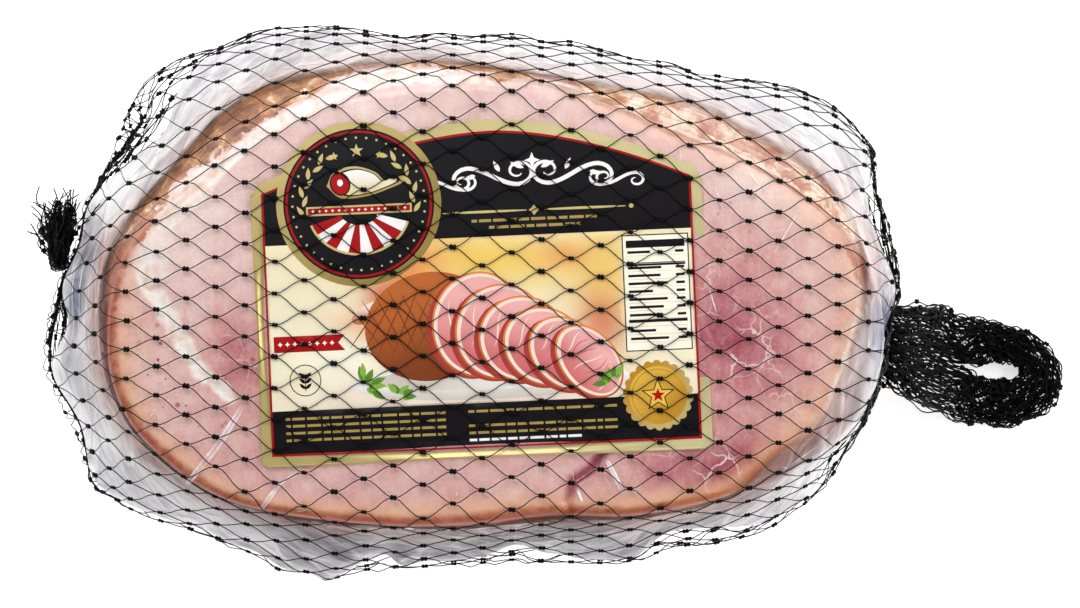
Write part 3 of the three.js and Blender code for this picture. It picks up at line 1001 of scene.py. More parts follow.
@dataclass(frozen=True)
class HamMeat:
    """The cured meat on the bone, cut across, with its slices' edges showing round the side."""

    around: int = 480
    inset: float = 0.6  # the meat lies this far inside the pack's form
    turn_radius: float = 4.0  # of the cut edge
    back_lift: float = 0.4  # of the flat spot over the floor
    edge_drop: float = 0.3  # of the edge under the face
    crowding: float = 1.15  # draws the side's rings closer together towards the foot
    lump_height: Pair = (0.55, 0.3)  # broad and fine lumps of the skin
    lump_size: Pair = (17.0, 6.0)
    slice_pitch: float = 4.6
    slice_depth: float = 0.8
    lowest_slice: float = 24.0
    dark_muscle: tuple[Blot, ...] = (
        Blot(90, -8, 24, 30, 10, 0.33), Blot(89, -14, 12, 14, 0, 0.17), Blot(78, -58, 26, 11, 10, 0.32),
        Blot(-82, -22, 9, 15, 15, 0.36), Blot(106, -26, 14, 13, 0, 0.16), Blot(-80, -10, 7, 8, 0, 0.14),
        Blot(93, -58, 12, 6, 33, 0.36),
    )
    pale_muscle: tuple[Blot, ...] = (
        Blot(-100, 28, 24, 24, 40, 0.17), Blot(102, 44, 20, 12, -30, 0.25), Blot(-44, 66, 32, 9, 8, 0.10),
    )
    warm_flesh: tuple[Blot, ...] = (
        Blot(-122, -18, 8, 30, 0, 0.8), Blot(-100, -60, 34, 8, -38, 0.7), Blot(-20, -76, 62, 7, 2, 0.7),
        Blot(60, -74, 40, 7, 8, 0.8), Blot(112, -48, 28, 9, 48, 0.9), Blot(132, -10, 9, 34, 0, 0.6),
        Blot(118, 30, 22, 9, -50, 0.5), Blot(70, 62, 40, 8, -22, 0.6),
    )
    speckled: tuple[Blot, ...] = (
        Blot(-108, -22, 9, 16, 0, 1.0), Blot(-95, -40, 12, 6, -35, 0.8), Blot(-78, -22, 8, 14, 0, 0.7),
        Blot(90, 22, 12, 16, 0, 0.5),
    )
    fat_rim: tuple[Bump, ...] = bumps((165, 9.0, 11), (140, 6.0, 16), (95, 3.6, 24), (350, 6.0, 16))
    fat_over_edge: tuple[Bump, ...] = bumps(
        (120, 6.5, 11), (104, 3.5, 11), (158, 5.0, 6), (171, -3.0, 5), (88, -2.0, 6), (73, 3.0, 6),
        (38, 2.0, 24), (350, 3.4, 16),
    )
    smoked_rim: tuple[Bump, ...] = bumps((245, 1.1, 55), (310, 0.9, 30), (190, 0.3, 20), (20, 0.2, 30))
    charred_rim: tuple[Bump, ...] = bumps(
        (188, 0.95, 16), (212, 0.4, 14), (250, 0.9, 55), (5, 0.9, 4), (298, 0.8, 16),
    )
    pale_side: tuple[Bump, ...] = bumps((54, 0.55, 24), (356, 1.0, 24), (148, -0.5, 10), (172, -0.5, 7))
    fleshy_side: tuple[Bump, ...] = bumps(
        (190, 0.8, 15), (225, 0.9, 30), (275, 0.9, 30), (320, 0.9, 22), (32, 0.6, 22),
    )
    browned_edge: tuple[Bump, ...] = bumps((45, 0.75, 26), (75, 0.5, 14), (14, 0.6, 12))

    def rows(self) -> list[Array]:
        """The meat's rings from the middle of the face down to the flat spot.

        Returns:
            The rings.
        """
        angle = 2 * np.pi * np.arange(self.around) / self.around
        shares = np.concatenate([np.linspace(0.08, 0.5, 7), np.linspace(0.515, 1.0, 46)])
        face = [self.face_ring(angle, share) for share in shares]
        return [FORM.top(self.inset)] + face + self.side_rings(angle)

    def face_ring(self, angle: Array, share: float) -> Array:
        """A ring of the cut face at a share of the way to where its edge turns down.

        Args:
            angle: Directions about the face's middle, in radians.
            share: The share.

        Returns:
            The ring's points.
        """
        reach = FORM.face_radius(angle) + FORM.meat_edge(angle) - self.inset - self.turn_radius
        plan = polar(angle, reach * share) + FORM.middle
        return np.c_[plan, FORM.face_height(plan) - self.inset - FORM.face_relief(plan)]

    def side_rings(self, angle: Array) -> list[Array]:
        """The rings of the rounded cut edge, the sliced side and the rounded back.

        Args:
            angle: Directions about the face's middle, in radians.

        Returns:
            The rings, from the edge down.
        """
        rings = []
        edge = FORM.face_height(FORM.face_point(angle, FORM.meat_edge(angle))) - self.inset - self.edge_drop
        for turn in np.linspace(0.18, 1.0, 6) * np.pi / 2:
            grown = FORM.meat_edge(angle) - self.inset - self.turn_radius * (1 - math.sin(turn))
            plan = FORM.face_point(angle, grown)
            dip = FORM.face_relief(plan) * math.cos(turn)
            rings.append(np.c_[plan, edge - self.turn_radius * (1 - math.cos(turn)) - dip])
        low = edge - self.turn_radius
        for share in np.linspace(0.0, 1.0, 96)[1:]:
            rings.append(self.side_ring(angle, low * (1 - share) ** self.crowding + self.back_lift))
        return rings + flat_spot(rings[-1], self.back_lift)

    def side_ring(self, angle: Array, height: Array) -> Array:
        """One ring of the side, with the slices' grooves and the skin's lumps.

        Args:
            angle: Directions about the face's middle, in radians.
            height: Heights, in millimetres.

        Returns:
            The ring's points.
        """
        plan = FORM.meat_point(angle, height)
        around = np.c_[plan, height]
        lumps = self.lump_height[0] * unevenness(around, self.lump_size[0], 5.0)
        lumps += self.lump_height[1] * unevenness(around, self.lump_size[1], 2.0)
        groove = self.slice_depth * self.groove_share(angle, height)
        inward = self.inset + 0.5 - np.minimum(lumps, 0.6) + groove
        return drawn_in(plan, inward, height)

    def reach(self, angle: Array) -> Array:
        """How far from the face's middle the meat shows in plan, at angles in radians.

        Args:
            angle: Directions about the face's middle, in radians.

        Returns:
            One radius for each angle.
        """
        steps = np.linspace(-np.pi, np.pi, 721)
        heights = np.linspace(30.0, 112.0, 42)
        rings = [self.side_ring(steps, np.full(len(steps), height)) for height in heights]
        plan = np.array(rings)[:, :, :2] - FORM.middle
        widest = np.max(lengths(plan), axis=0)
        edge = FORM.face_radius(steps) + FORM.meat_edge(steps) - self.inset
        return np.interp(angle, steps, np.maximum(widest, edge))

    def groove_share(self, angle: Array, height: Array) -> Array:
        """How deep the spiral cut shows at a place round the side, from 0 to 1."""
        phase = np.mod(height / self.slice_pitch + angle / (2 * np.pi), 1.0)
        return hill(np.abs(phase - 0.5), 0.13) * smooth(height, self.lowest_slice, self.lowest_slice + 6)

    def build(self, finish: CuredMeat) -> Piece:
        """Makes the meat's mesh and dresses it.

        Args:
            finish: What it is dressed in.

        Returns:
            The meat.
        """
        points, triangles = ring_skin(self.rows())
        made = new_object("ham_meat", points, triangles)
        plan = points[:, :2]
        from_middle = plan - FORM.middle
        angle = np.arctan2(from_middle[:, 1], from_middle[:, 0])
        out = self.outward(points, from_middle, angle)
        give(made, "out", out)
        give(made, "tone", self.tone(plan, points))
        give(made, "fat", self.fat_depth(plan, angle, out))
        give(made, "rind", out - bumps_at(angle, self.fat_over_edge) - 0.4)
        give(made, "cut", self.groove_share(angle, points[:, 2]) * smooth(out, 1.0, 3.0))
        give(made, "pale", np.clip(bumps_at(angle, self.pale_side), -1, 1))
        shares = {
            "warm": blots_at(plan, self.warm_flesh), "veined": 0.2 + 1.8 * blots_at(plan, self.dark_muscle),
            "specked": blots_at(plan, self.speckled), "smoked": bumps_at(angle, self.smoked_rim),
            "charred": bumps_at(angle, self.charred_rim), "fleshy": bumps_at(angle, self.fleshy_side),
            "browned": bumps_at(angle, self.browned_edge),
        }
        for name, share in shares.items():
            give(made, name, np.clip(share, 0, 1))
        made.data.materials.append(finish.material())
        return made

    def outward(self, points: Array, from_middle: Array, angle: Array) -> Array:
        """How far a place lies past the cut edge in plan, and on past that below the waist.

        Args:
            points: Places, one row each.
            from_middle: The same in plan, from the face's middle.
            angle: Directions about the face's middle, in radians.

        Returns:
            One distance for each place.
        """
        edge = FORM.face_radius(angle) + FORM.meat_edge(angle) - self.inset
        across = lengths(from_middle) - edge
        under = np.clip(FORM.waist - points[:, 2], 0, None)
        return np.where(under > 0, FORM.meat_swell(angle) + under, across)

    def tone(self, plan: Array, points: Array) -> Array:
        """How dark the muscle is, from 0 to 1.

        Args:
            plan: Places in plan.
            points: The same places with their heights.

        Returns:
            One value for each place.
        """
        base = 0.445 - 0.001 * plan[:, 1]
        lumps = 0.05 * unevenness(points, 24.0, 9.0)
        torn = 0.5 * hill(line_distance(plan, TORN_SLICE), 2.0)
        torn += 0.4 * hill(line_distance(plan, SLICE_LIP), 1.2)
        return base + lumps + torn + blots_at(plan, self.dark_muscle) - blots_at(plan, self.pale_muscle)

    def fat_depth(self, plan: Array, angle: Array, out: Array) -> Array:
        """How far inside the white fat a place lies, in millimetres; below 0 is outside it.

        Args:
            plan: Places in plan.
            angle: Directions about the face's middle, in radians.
            out: How far past the edge they lie.

        Returns:
            One depth for each place.
        """
        rim = np.minimum(out + bumps_at(angle, self.fat_rim), bumps_at(angle, self.fat_over_edge) - out) - 0.6
        taper = 2.3 - 0.6 * smooth(plan[:, 0], -108.0, -82.0)
        seam = taper - 0.62 * line_distance(plan, FAT_SEAM)
        corner = 1.3 - 0.17 * lengths((plan - np.array([-113.0, 20.0])) * np.array([1.0, 0.6]))
        return np.maximum(np.maximum(rim, seam), corner)


# ---- The film ----


@dataclass(frozen=True)
class FilmBag:
    """The clear film round the ham, tight on the face and folded out at the waist."""

    around: int = 620
    inset: float = 0.2
    turn_radius: float = 5.0
    meat_room: float = 0.35
    crowding: float = 1.2  # draws the side's rings closer together towards the foot
    fine_wrinkle: Pair = (0.3, 3.2)  # height and size
    broad_wrinkle: Pair = (0.6, 9.0)
    face_wrinkle: Pair = (0.12, 7.0)
    face_follow: float = 0.75  # share of the meat's hollows that the film follows
    clear: float = 0.012  # milkiness where the film is tight over the face
    # how far past the meat the painted glow of its colour reaches into the film
    blush_width: float = 4.2  # how far past the meat its colour shows in the film
    # how far past the meat's edge the painted shade beside it reaches
    shade_width: float = 4.6
    pulled_in: tuple[Bump, ...] = bumps(
        (151, 14, 11), (183.7, 6.5, 4), (196, 3.2, 5), (249.4, 6, 4), (278, 5.2, 9), (313, 7, 8),
        (334.6, 4, 4), (11, 5.5, 7), (242.7, -3.0, 2.5),
    )
    veil_shift: tuple[Bump, ...] = bumps(
        (353, 3.2, 26), (338, 1.5, 10), (148, -3.0, 18), (208, -2.4, 22), (275, -1.8, 30),
    )
    # where the painted glow of the meat's colour is weaker
    paler: tuple[Bump, ...] = bumps((350, 0.6, 16))
    # painted shade beside the meat's edge, by direction
    edge_shade: tuple[Bump, ...] = bumps((207, 1.0, 22), (252, 0.9, 30), (300, 0.9, 26), (332, 0.4, 14))
    # patches of painted blue grey shade in the folds
    bluish: tuple[Blot, ...] = (
        Blot(-140.2, -1.0, 2.4, 9, -5, 1.3), Blot(-144.5, 4.0, 4.0, 11, -5, 0.4),
        Blot(-135.5, 15, 3, 5, 0, 0.7), Blot(-142, -22, 4, 8, 0, 0.5), Blot(145.5, -12, 6.5, 14, 8, 1.1),
        Blot(0, -84, 60, 5, 0, 0.2),
    )
    # patches of painted shade, darkest along the near side and at the two ends
    shaded: tuple[Blot, ...] = (
        Blot(-30, -86, 50, 16, 0, 1.1), Blot(56, -84, 50, 13, 0, 0.9), Blot(-96, -76, 40, 14, -30, 0.2),
        Blot(110, -74, 30, 12, 40, 0.25), Blot(-140, 6, 5, 16, -8, 0.9), Blot(146, -8, 7, 20, 0, 0.9),
        Blot(112, 54, 32, 12, -48, 0.22),
    )

    def outline(self, angle: Array) -> Array:
        """How far the film stands past the meat's waist, and the way it goes, as plan vectors.

        Args:
            angle: Directions about the face's middle, in radians.

        Returns:
            One vector for each angle.
        """
        waist = FORM.face_point(angle, FORM.meat_swell(angle))
        out = FORM.outline_point(angle) - waist
        room = lengths(out)
        share = np.maximum(room - bumps_at(angle, self.pulled_in) - self.inset, self.meat_room) / room
        return out * share[:, None]

    def wrinkle(self, crease: Array, share: Array) -> Array:
        """Height of the film's wrinkles, more where more of the fold stands out.

        Args:
            crease: Places as the wrinkles run.
            share: How loose the film is there.

        Returns:
            One height for each place.
        """
        fine = self.fine_wrinkle[0] * unevenness(crease, self.fine_wrinkle[1], 1.0)
        broad = self.broad_wrinkle[0] * unevenness(crease, self.broad_wrinkle[1], 4.0)
        return (fine + broad) * share

    def rows(self) -> list[Array]:
        """The film's rings from the middle of the face down to the flat spot.

        Returns:
            The rings.
        """
        angle = 2 * np.pi * np.arange(self.around) / self.around
        own_edge = FORM.film_edge(angle)
        rows = [FORM.top(self.inset)]
        for share in np.concatenate([np.linspace(0.1, 0.5, 5), np.linspace(0.52, 1.0, 42)]):
            reach = FORM.face_radius(angle) + own_edge - self.inset - self.turn_radius
            plan = polar(angle, reach * share) + FORM.middle
            rows.append(np.c_[plan, FORM.face_height(plan) - self.inset + self.face_waves(plan)])
        edge = FORM.face_height(FORM.face_point(angle, own_edge)) - self.inset
        for turn in np.linspace(0.2, 1.0, 5) * np.pi / 2:
            plan = FORM.face_point(angle, own_edge - self.inset - self.turn_radius * (1 - math.sin(turn)))
            rows.append(np.c_[plan, edge - self.turn_radius * (1 - math.cos(turn))])
        low = edge - self.turn_radius
        steps = np.linspace(0, 1, 72)[1:]
        rows += [self.side_ring(angle, low * (1 - share) ** self.crowding) for share in steps]
        return rows + flat_spot(rows[-1], 0.0)

    def side_ring(self, angle: Array, height: Array) -> Array:
        """One ring of the film's side, wrinkled where it stands off the meat.

        Args:
            angle: Directions about the face's middle, in radians.
            height: Heights, in millimetres.

        Returns:
            The ring's points.
        """
        tight = FORM.meat_point(angle, height, FORM.film_edge(angle))
        fold = self.outline(angle) * FORM.fold_share(height)[:, None]
        plan = tight + fold
        share = smooth(lengths(fold), 0.6, 6.0)
        wrinkle = self.wrinkle(self.crease(plan, height), share) - 0.9 * share
        return drawn_in(plan, self.inset * smooth(height, 0.0, 4.0) - wrinkle, height)

    def crease(self, plan: Array, height: Array) -> Array:
        """A place on the film in which wrinkles run round the side: long round it, short down it.

        Args:
            plan: Places in plan.
            height: Heights, in millimetres.

        Returns:
            The places as the wrinkles run.
        """
        reach = lengths(plan)
        way = plan / np.maximum(reach, 1e-6)[:, None]
        return np.c_[way * 30.0, 0.8 * reach + 0.3 * (FORM.height - height)]

    def face_waves(self, plan: Array) -> Array:
        """Height of the film over the plain dome of the face, where it follows the meat's hollows.

        Args:
            plan: Places in plan.

        Returns:
            One height for each place.
        """
        height, size = self.face_wrinkle
        fine = height * unevenness(np.c_[plan, 0 * plan[:, 0]], size, 8.0)
        return -self.face_follow * FORM.face_relief(plan) + fine

    def build(self, finish: BagFilm) -> Piece:
        """Makes the film's mesh and dresses it.

        Args:
            finish: What it is dressed in.

        Returns:
            The film.
        """
        points, triangles = ring_skin(self.rows())
        made = new_object("film_bag", points, triangles)
        plan, height = points[:, :2], points[:, 2]
        angle = np.arctan2(plan[:, 1], plan[:, 0] - FORM.face_shift)
        away = plan - FORM.middle
        meat = FORM.meat_point(angle, height) - FORM.middle
        stand_off = lengths(away) - lengths(meat)
        beyond = lengths(away) - HamMeat().reach(angle)
        loose = np.where(height > FORM.waist, beyond, np.maximum(stand_off - 2.0, 0.0))
        shift = bumps_at(angle, self.veil_shift)
        late = np.minimum(shift, 0) * (1 - smooth(beyond, -0.8, 0.8))
        shift = np.where(height > FORM.waist, np.maximum(shift, 0) + late, 0.0)
        on_side = smooth(beyond + shift, -3.0, 1.0)
        early = mix(0.9, 3.6, smooth(FORM.meat_swell(angle), 4.0, 9.0))
        shifted = loose + shift
        veil = self.clear + 0.05 * on_side + 0.5 * smooth(shifted + early, 0.0, 0.6 + early)
        veil += 0.4 * smooth(shifted, -1.2, 0.9)
        give(made, "milk", veil)
        # painted blue grey shade in the folds
        give(made, "blue", np.clip(blots_at(plan, self.bluish), 0, 1) * on_side)
        away_from_meat = np.maximum(beyond, 0)
        # painted shade beside the meat's edge, added to the patches of painted shade
        beside = hill(np.maximum(beyond - 0.3, 0), self.shade_width)
        beside *= np.clip(bumps_at(angle, self.edge_shade), 0, 1)
        give(made, "dusk", np.clip(blots_at(plan, self.shaded) + beside, 0, 1) * on_side)
        # painted glow of the meat's colour in the film beside it, weaker towards the far side
        blush = 0.95 * hill(away_from_meat, self.blush_width) + 0.2 * (1 - smooth(away_from_meat, 4.0, 15.0))
        blush *= mix(1.0, 0.45, smooth(plan[:, 1], 0.0, 40.0)) - np.clip(bumps_at(angle, self.paler), 0, 0.6)
        give(made, "blush", blush * on_side)
        give(made, "crease", self.crease(plan, height) * MILLIMETRE)
        made.data.materials.append(finish.material())
        return made


@dataclass(frozen=True)
class Crease:
    """A crease of the film: its line in plan and half its width, as one crest or as a flat band."""

    line: tuple[Pair, ...]
    half: float = 0.5
    band: bool = False


@dataclass(frozen=True)
class FilmCreases:
    """Fine creases that stand up from the film: a few straight ones on the face, many round the side, with a
    painted highlight on their crests.
    """

    drawn: tuple[Crease, ...] = (
        Crease(((-80.0, -36.5), (-89.0, -50.5), (-100.5, -65.0)), 1.5, True),
        Crease(((-68.0, -65.0), (-74.0, -73.0)), 1.1, True),
        Crease(((-59.0, -58.0), (-66.0, -63.5), (-72.0, -69.5)), 0.6),
        Crease(((47.0, -56.0), (53.0, -68.0)), 1.1, True), Crease(((36.5, -65.5), (38.5, -71.0)), 0.9),
        Crease(((82.5, 5.0), (85.5, -5.0)), 0.5), Crease(((84.5, 41.0), (88.0, 30.0)), 0.5),
        Crease(((102.0, 38.0), (96.0, 46.0)), 0.8),
        Crease(((104.0, 14.0), (110.0, 24.0), (114.0, 31.0)), 0.5),
        Crease(((-136.5, 16.0), (-138.6, 5.0), (-139.0, -9.0)), 0.7),
        Crease(((-140.0, 14.0), (-141.4, 3.0), (-141.0, -12.0)), 0.5),
        Crease(((-131.5, 18.0), (-132.5, 6.0), (-132.0, -8.0)), 0.6),
    )
    fine_half: Pair = (0.16, 0.38)
    on_face: int = 30
    on_side: int = 150
    face_length: Pair = (2.5, 8.0)
    side_length: Pair = (7.0, 26.0)
    rise: float = 0.4  # of the crest over the film
    lift: float = 0.05
    steps: int = 14
    ribs: tuple[float, ...] = (-1.0, -0.6, 0.0, 0.6, 1.0)
    crest: tuple[float, ...] = (0.0, 0.4, 1.0, 0.4, 0.0)
    band_crest: tuple[float, ...] = (0.0, 1.0, 0.42, 1.0, 0.0)
    seed: int = 31

    def face_line(self, draw: np.random.Generator) -> Array:
        """A short line on the face's outer part, roughly outwards.

        Args:
            draw: The random draws.

        Returns:
            The line's three points.
        """
        angle = draw.uniform(-np.pi, np.pi)
        middle = FORM.face_point(np.array([angle]), -draw.uniform(3.0, 26.0, 1))[0]
        heading = angle + draw.normal(0, 0.6)
        half = draw.uniform(*self.face_length) / 2
        way = np.array([math.cos(heading), math.sin(heading)]) * half
        bow = np.array([-way[1], way[0]]) * draw.normal(0, 0.12)
        return np.array([middle - way, middle + bow, middle + way])

    def side_lines(self, draw: np.random.Generator) -> Array:
        """Lines round the film's side, between the meat and the outline.

        Args:
            draw: The random draws.

        Returns:
            Three points for each line.
        """
        middle = draw.uniform(-np.pi, np.pi, (self.on_side, 1))
        turn = draw.uniform(*self.side_length, (self.on_side, 1)) / 120.0
        angles = (middle + turn * np.array([-0.5, 0.0, 0.5])).ravel()
        tilt = draw.normal(0, 0.1, (self.on_side, 1)) * np.array([-1.0, 0.0, 1.0])
        shares = np.clip(draw.uniform(0.05, 0.85, (self.on_side, 1)) + tilt, 0.02, 0.9).ravel()
        inner = polar(angles, HamMeat().reach(angles)) + FORM.middle
        outer = inner + FilmBag().outline(angles)
        return mix(inner, outer, shares[:, None]).reshape(self.on_side, 3, 2)

    def strip(self, film: BVHTree, crease: Crease) -> tuple[Array, Array]:
        """One crease as rows of ribs across it, and how far each place stands up, from 0 to 1.

        Args:
            film: The film's faces.
            crease: The crease.

        Returns:
            The ribs' points and their rise.
        """
        plan = through(np.array(crease.line), self.steps)
        above = to_row(np.c_[plan, np.full(self.steps, 2 * FORM.height)])
        hits = [film.ray_cast(Vector(place), Vector((0.0, 0.0, -1.0))) for place in above]
        kept = [hit for hit in hits if hit[0] is not None and hit[1].z > 0.05]
        places = to_pack([hit[0] for hit in kept])
        normals = np.array([hit[1] for hit in kept])
        taper = np.sin(np.pi * np.linspace(0.02, 0.98, len(kept))) ** (0.3 if crease.band else 0.6)
        side = np.cross(normals, np.gradient(places, axis=0))
        side /= lengths(side)[:, None]
        crest = np.array(self.band_crest if crease.band else self.crest) * taper[:, None]
        reach = crease.half * (0.4 + 0.6 * taper)
        across = side[:, None] * (np.array(self.ribs)[None, :, None] * reach[:, None, None])
        out = normals[:, None] * (self.lift + self.rise * crest)[..., None]
        return places[:, None] + across + out, crest

    def build(self, film: Piece) -> Piece:
        """Makes all the creases as one piece, dressed like the film that they stand on.

        Args:
            film: The film.

        Returns:
            The creases.
        """
        draw = np.random.default_rng(self.seed)
        tree = tree_of(film)
        creases = list(self.drawn)
        creases += [Crease(self.face_line(draw), draw.uniform(*self.fine_half)) for _ in range(self.on_face)]
        creases += [Crease(line, draw.uniform(*self.fine_half)) for line in self.side_lines(draw)]
        points, crests, triangles, start = [], [], [], 0
        width = len(self.ribs)
        for crease in creases:
            strip, crest = self.strip(tree, crease)
            corner = np.arange(len(strip) - 1)[:, None] * width + np.arange(width - 1)[None] + start
            corner = corner.ravel()
            triangles.append(np.c_[corner, corner + width, corner + 1])
            triangles.append(np.c_[corner + 1, corner + width, corner + width + 1])
            points.append(strip.reshape(-1, 3))
            crests.append(crest.ravel())
            start += strip.shape[0] * width
        points, crests = np.vstack(points), np.concatenate(crests)
        made = new_object("film_creases", points, np.vstack(triangles))
        # painted highlight: the crests are drawn milky white and lighter than the film round them
        give(made, "milk", 0.03 + 0.75 * crests)
        give(made, "dusk", -0.8 * crests)
        for name in ("blue", "blush"):
            give(made, name, 0 * crests)
        give(made, "crease", FilmBag().crease(points[:, :2], points[:, 2]) * MILLIMETRE)
        made.data.materials.append(film.data.materials[0])
        return made


# ---- The net: its strands and knots ----


def new_tree(name: str, inputs: dict[str, str]) -> tuple[NodeTree, bpy.types.Node]:
    """A Geometry Nodes tree with named inputs, a finish among them, and one mesh out.

    Args:
        name: Name of the tree.
        inputs: What each input is called, and its kind of socket.

    Returns:
        The tree and the node that gives its inputs.
    """
    tree = bpy.data.node_groups.new(name, "GeometryNodeTree")
    for label, kind in {**inputs, "Finish": "Material"}.items():
        tree.interface.new_socket(label, in_out="INPUT", socket_type=f"NodeSocket{kind}")
    tree.interface.new_socket("Mesh", in_out="OUTPUT", socket_type="NodeSocketGeometry")
    return tree, add_node(tree, "NodeGroupInput")


def end_tree(tree: NodeTree, given: bpy.types.Node, made: bpy.types.Node) -> NodeTree:
    """Makes a tree's result real, dresses it and sends it out.

    Args:
        tree: The tree.
        given: The node that gives its inputs.
        made: The node that makes its shapes.

    Returns:
        The same tree.
    """
    real = add_node(tree, "GeometryNodeRealizeInstances", Geometry=made.outputs[0])
    dressed = add_node(tree, "GeometryNodeSetMaterial", i0=real.outputs[0], Material=given.outputs["Finish"])
    add_node(tree, "NodeGroupOutput", Mesh=dressed.outputs[0])
    return tree


def strand_tree() -> NodeTree:
    """Geometry Nodes that turn a piece's edges into round strands.

    Returns:
        The tree.
    """
    tree, given = new_tree("net_strands", {"Lines": "Geometry", "Strand radius": "Float", "Sides": "Int"})
    curves = add_node(tree, "GeometryNodeMeshToCurve", Mesh=given.outputs["Lines"])
    sizes = {"Resolution": given.outputs["Sides"], "Radius": given.outputs["Strand radius"]}
    ring = add_node(tree, "GeometryNodeCurvePrimitiveCircle", **sizes)
    path = {"Curve": curves.outputs[0], "Profile_Curve": ring.outputs[0], "Fill_Caps": True}
    tubes = add_node(tree, "GeometryNodeCurveToMesh", **path)
    return end_tree(tree, given, tubes)


def knot_tree() -> NodeTree:
    """Geometry Nodes that put a knot on each point, turned along the net's pull.

    Returns:
        The tree.
    """
    inputs = {"Places": "Geometry", "Knot": "Object", "Size spread": "Float", "Seed": "Int"}
    tree, given = new_tree("net_knots", inputs)
    knot = add_node(tree, "GeometryNodeObjectInfo", Object=given.outputs["Knot"])
    pull = add_node(tree, "GeometryNodeInputNamedAttribute", {"data_type": "FLOAT_VECTOR"}, Name="pull")
    out = add_node(tree, "GeometryNodeInputNamedAttribute", {"data_type": "FLOAT_VECTOR"}, Name="out")
    along = add_node(tree, "FunctionNodeAlignRotationToVector", {"axis": "X"}, Vector=pull.outputs[0])
    upright = add_node(
        tree, "FunctionNodeAlignRotationToVector", {"axis": "Z", "pivot_axis": "X"},
        Rotation=along.outputs[0], Vector=out.outputs[0],
    )
    spread = given.outputs["Size spread"]
    least = add_node(tree, "ShaderNodeMath", {"operation": "SUBTRACT"}, i0=1.0, i1=spread)
    most = add_node(tree, "ShaderNodeMath", {"operation": "ADD"}, i0=1.0, i1=spread)
    size = add_node(
        tree, "FunctionNodeRandomValue", {"data_type": "FLOAT"}, i2=least.outputs[0], i3=most.outputs[0]
    )
    tree.links.new(given.outputs["Seed"], size.inputs["Seed"])
    placed = add_node(
        tree, "GeometryNodeInstanceOnPoints", Points=given.outputs["Places"],
        Instance=knot.outputs["Geometry"], Rotation=upright.outputs[0], Scale=size.outputs[1],
    )
    return end_tree(tree, given, placed)


def grown_by(tree: NodeTree, seedling: Piece, name: str, **inputs: object) -> Piece:
    """Runs a Geometry Nodes tree on a plain mesh and keeps the result as a mesh.

    Args:
        tree: The node tree.
        seedling: The object that holds lines or points; it is removed.
        name: Name of the piece.
        **inputs: The tree's inputs by name, with spaces as underscores.

    Returns:
        The linked object, with no modifier.
    """
    modifier = seedling.modifiers.new(tree.name, "NODES")
    modifier.node_group = tree
    sockets = {item.name: item.identifier for item in tree.interface.items_tree if item.in_out == "INPUT"}
    for key, value in inputs.items():
        modifier[sockets[key.replace("_", " ")]] = value
    ready = seedling.evaluated_get(bpy.context.evaluated_depsgraph_get())
    mesh = bpy.data.meshes.new_from_object(ready)
    mesh.name = name
    mesh.polygons.foreach_set("use_smooth", [True] * len(mesh.polygons))
    seedling.modifiers.remove(modifier)
    bpy.data.objects.remove(seedling)
    return linked(name, mesh)


def polylines(paths: Sequence[Array]) -> tuple[Array, Array]:
    """Points and edges of several open lines.

    Args:
        paths: The lines' points.

    Returns:
        All points, and the edges between them.
    """
    edges = []
    start = 0
    for path in paths:
        k = np.arange(start, start + len(path) - 1)
        edges.append(np.stack([k, k + 1], axis=1))
        start += len(path)
    return np.vstack(paths), np.vstack(edges)


@dataclass(frozen=True)
class Knot:
    """One pulled knot: two lumps with a waist between them, along the net's pull."""

    length: float = 2.2
    thick: float = 1.95
    flat: float = 0.7  # its height over its width
    sides: int = 7
    profile: tuple[float, ...] = (0.4, 0.98, 0.9, 0.68, 0.9, 0.98, 0.4)

    def build(self) -> Piece:
        """Makes the knot at the world's origin, in metres.

        Returns:
            The knot.
        """
        turn = 2 * np.pi * np.arange(self.sides) / self.sides
        places = np.linspace(-0.5, 0.5, len(self.profile)) * self.length
        rows = [np.array([[-0.56 * self.length, 0.0, 0.0]])]
        for at, share in zip(places, self.profile):
            radius = share * self.thick / 2
            rows.append(np.c_[at + 0 * turn, radius * np.cos(turn), self.flat * radius * np.sin(turn)])
        rows.append(np.array([[0.56 * self.length, 0.0, 0.0]]))
        points, triangles = ring_skin(rows[::-1])
        mesh = bpy.data.meshes.new("knot")
        mesh.from_pydata((points * MILLIMETRE).tolist(), [], triangles.tolist())
        return linked("knot", mesh)


@dataclass(frozen=True)
class NetKit:
    """What every net piece is made with: the two node trees, the knot and the finish."""

    strands: NodeTree
    knots: NodeTree
    knot: Piece
    finish: bpy.types.Material
    size_spread: float = 0.16  # of the knots, as a share

    def tubes(self, name: str, paths: Sequence[Array], radius: float, sides: int) -> Piece:
        """Round strands along paths.

        Args:
            name: Name of the piece.
            paths: The strands' middles.
            radius: Their radius.
            sides: How many sides they have.

        Returns:
            The strands.
        """
        points, edges = polylines(paths)
        lines = new_object(name + "_lines", points, edges)
        return grown_by(
            self.strands, lines, name, Strand_radius=radius * MILLIMETRE, Sides=sides, Finish=self.finish
        )

    def lumps(self, name: str, places: Array, pull: Array, out: Array, seed: int) -> Piece:
        """Knots at places, turned along their pull with their flat side out.

        Args:
            name: Name of the piece.
            places: Where they sit.
            pull: The net's pull there.
            out: The direction off the surface.
            seed: Of their sizes.

        Returns:
            The knots.
        """
        dots = new_object(name + "_places", places, np.zeros((0, 2), int))
        give(dots, "pull", pull)
        give(dots, "out", out)
        sizes = {"Knot": self.knot, "Size_spread": self.size_spread}
        return grown_by(self.knots, dots, name, Seed=seed, Finish=self.finish, **sizes)


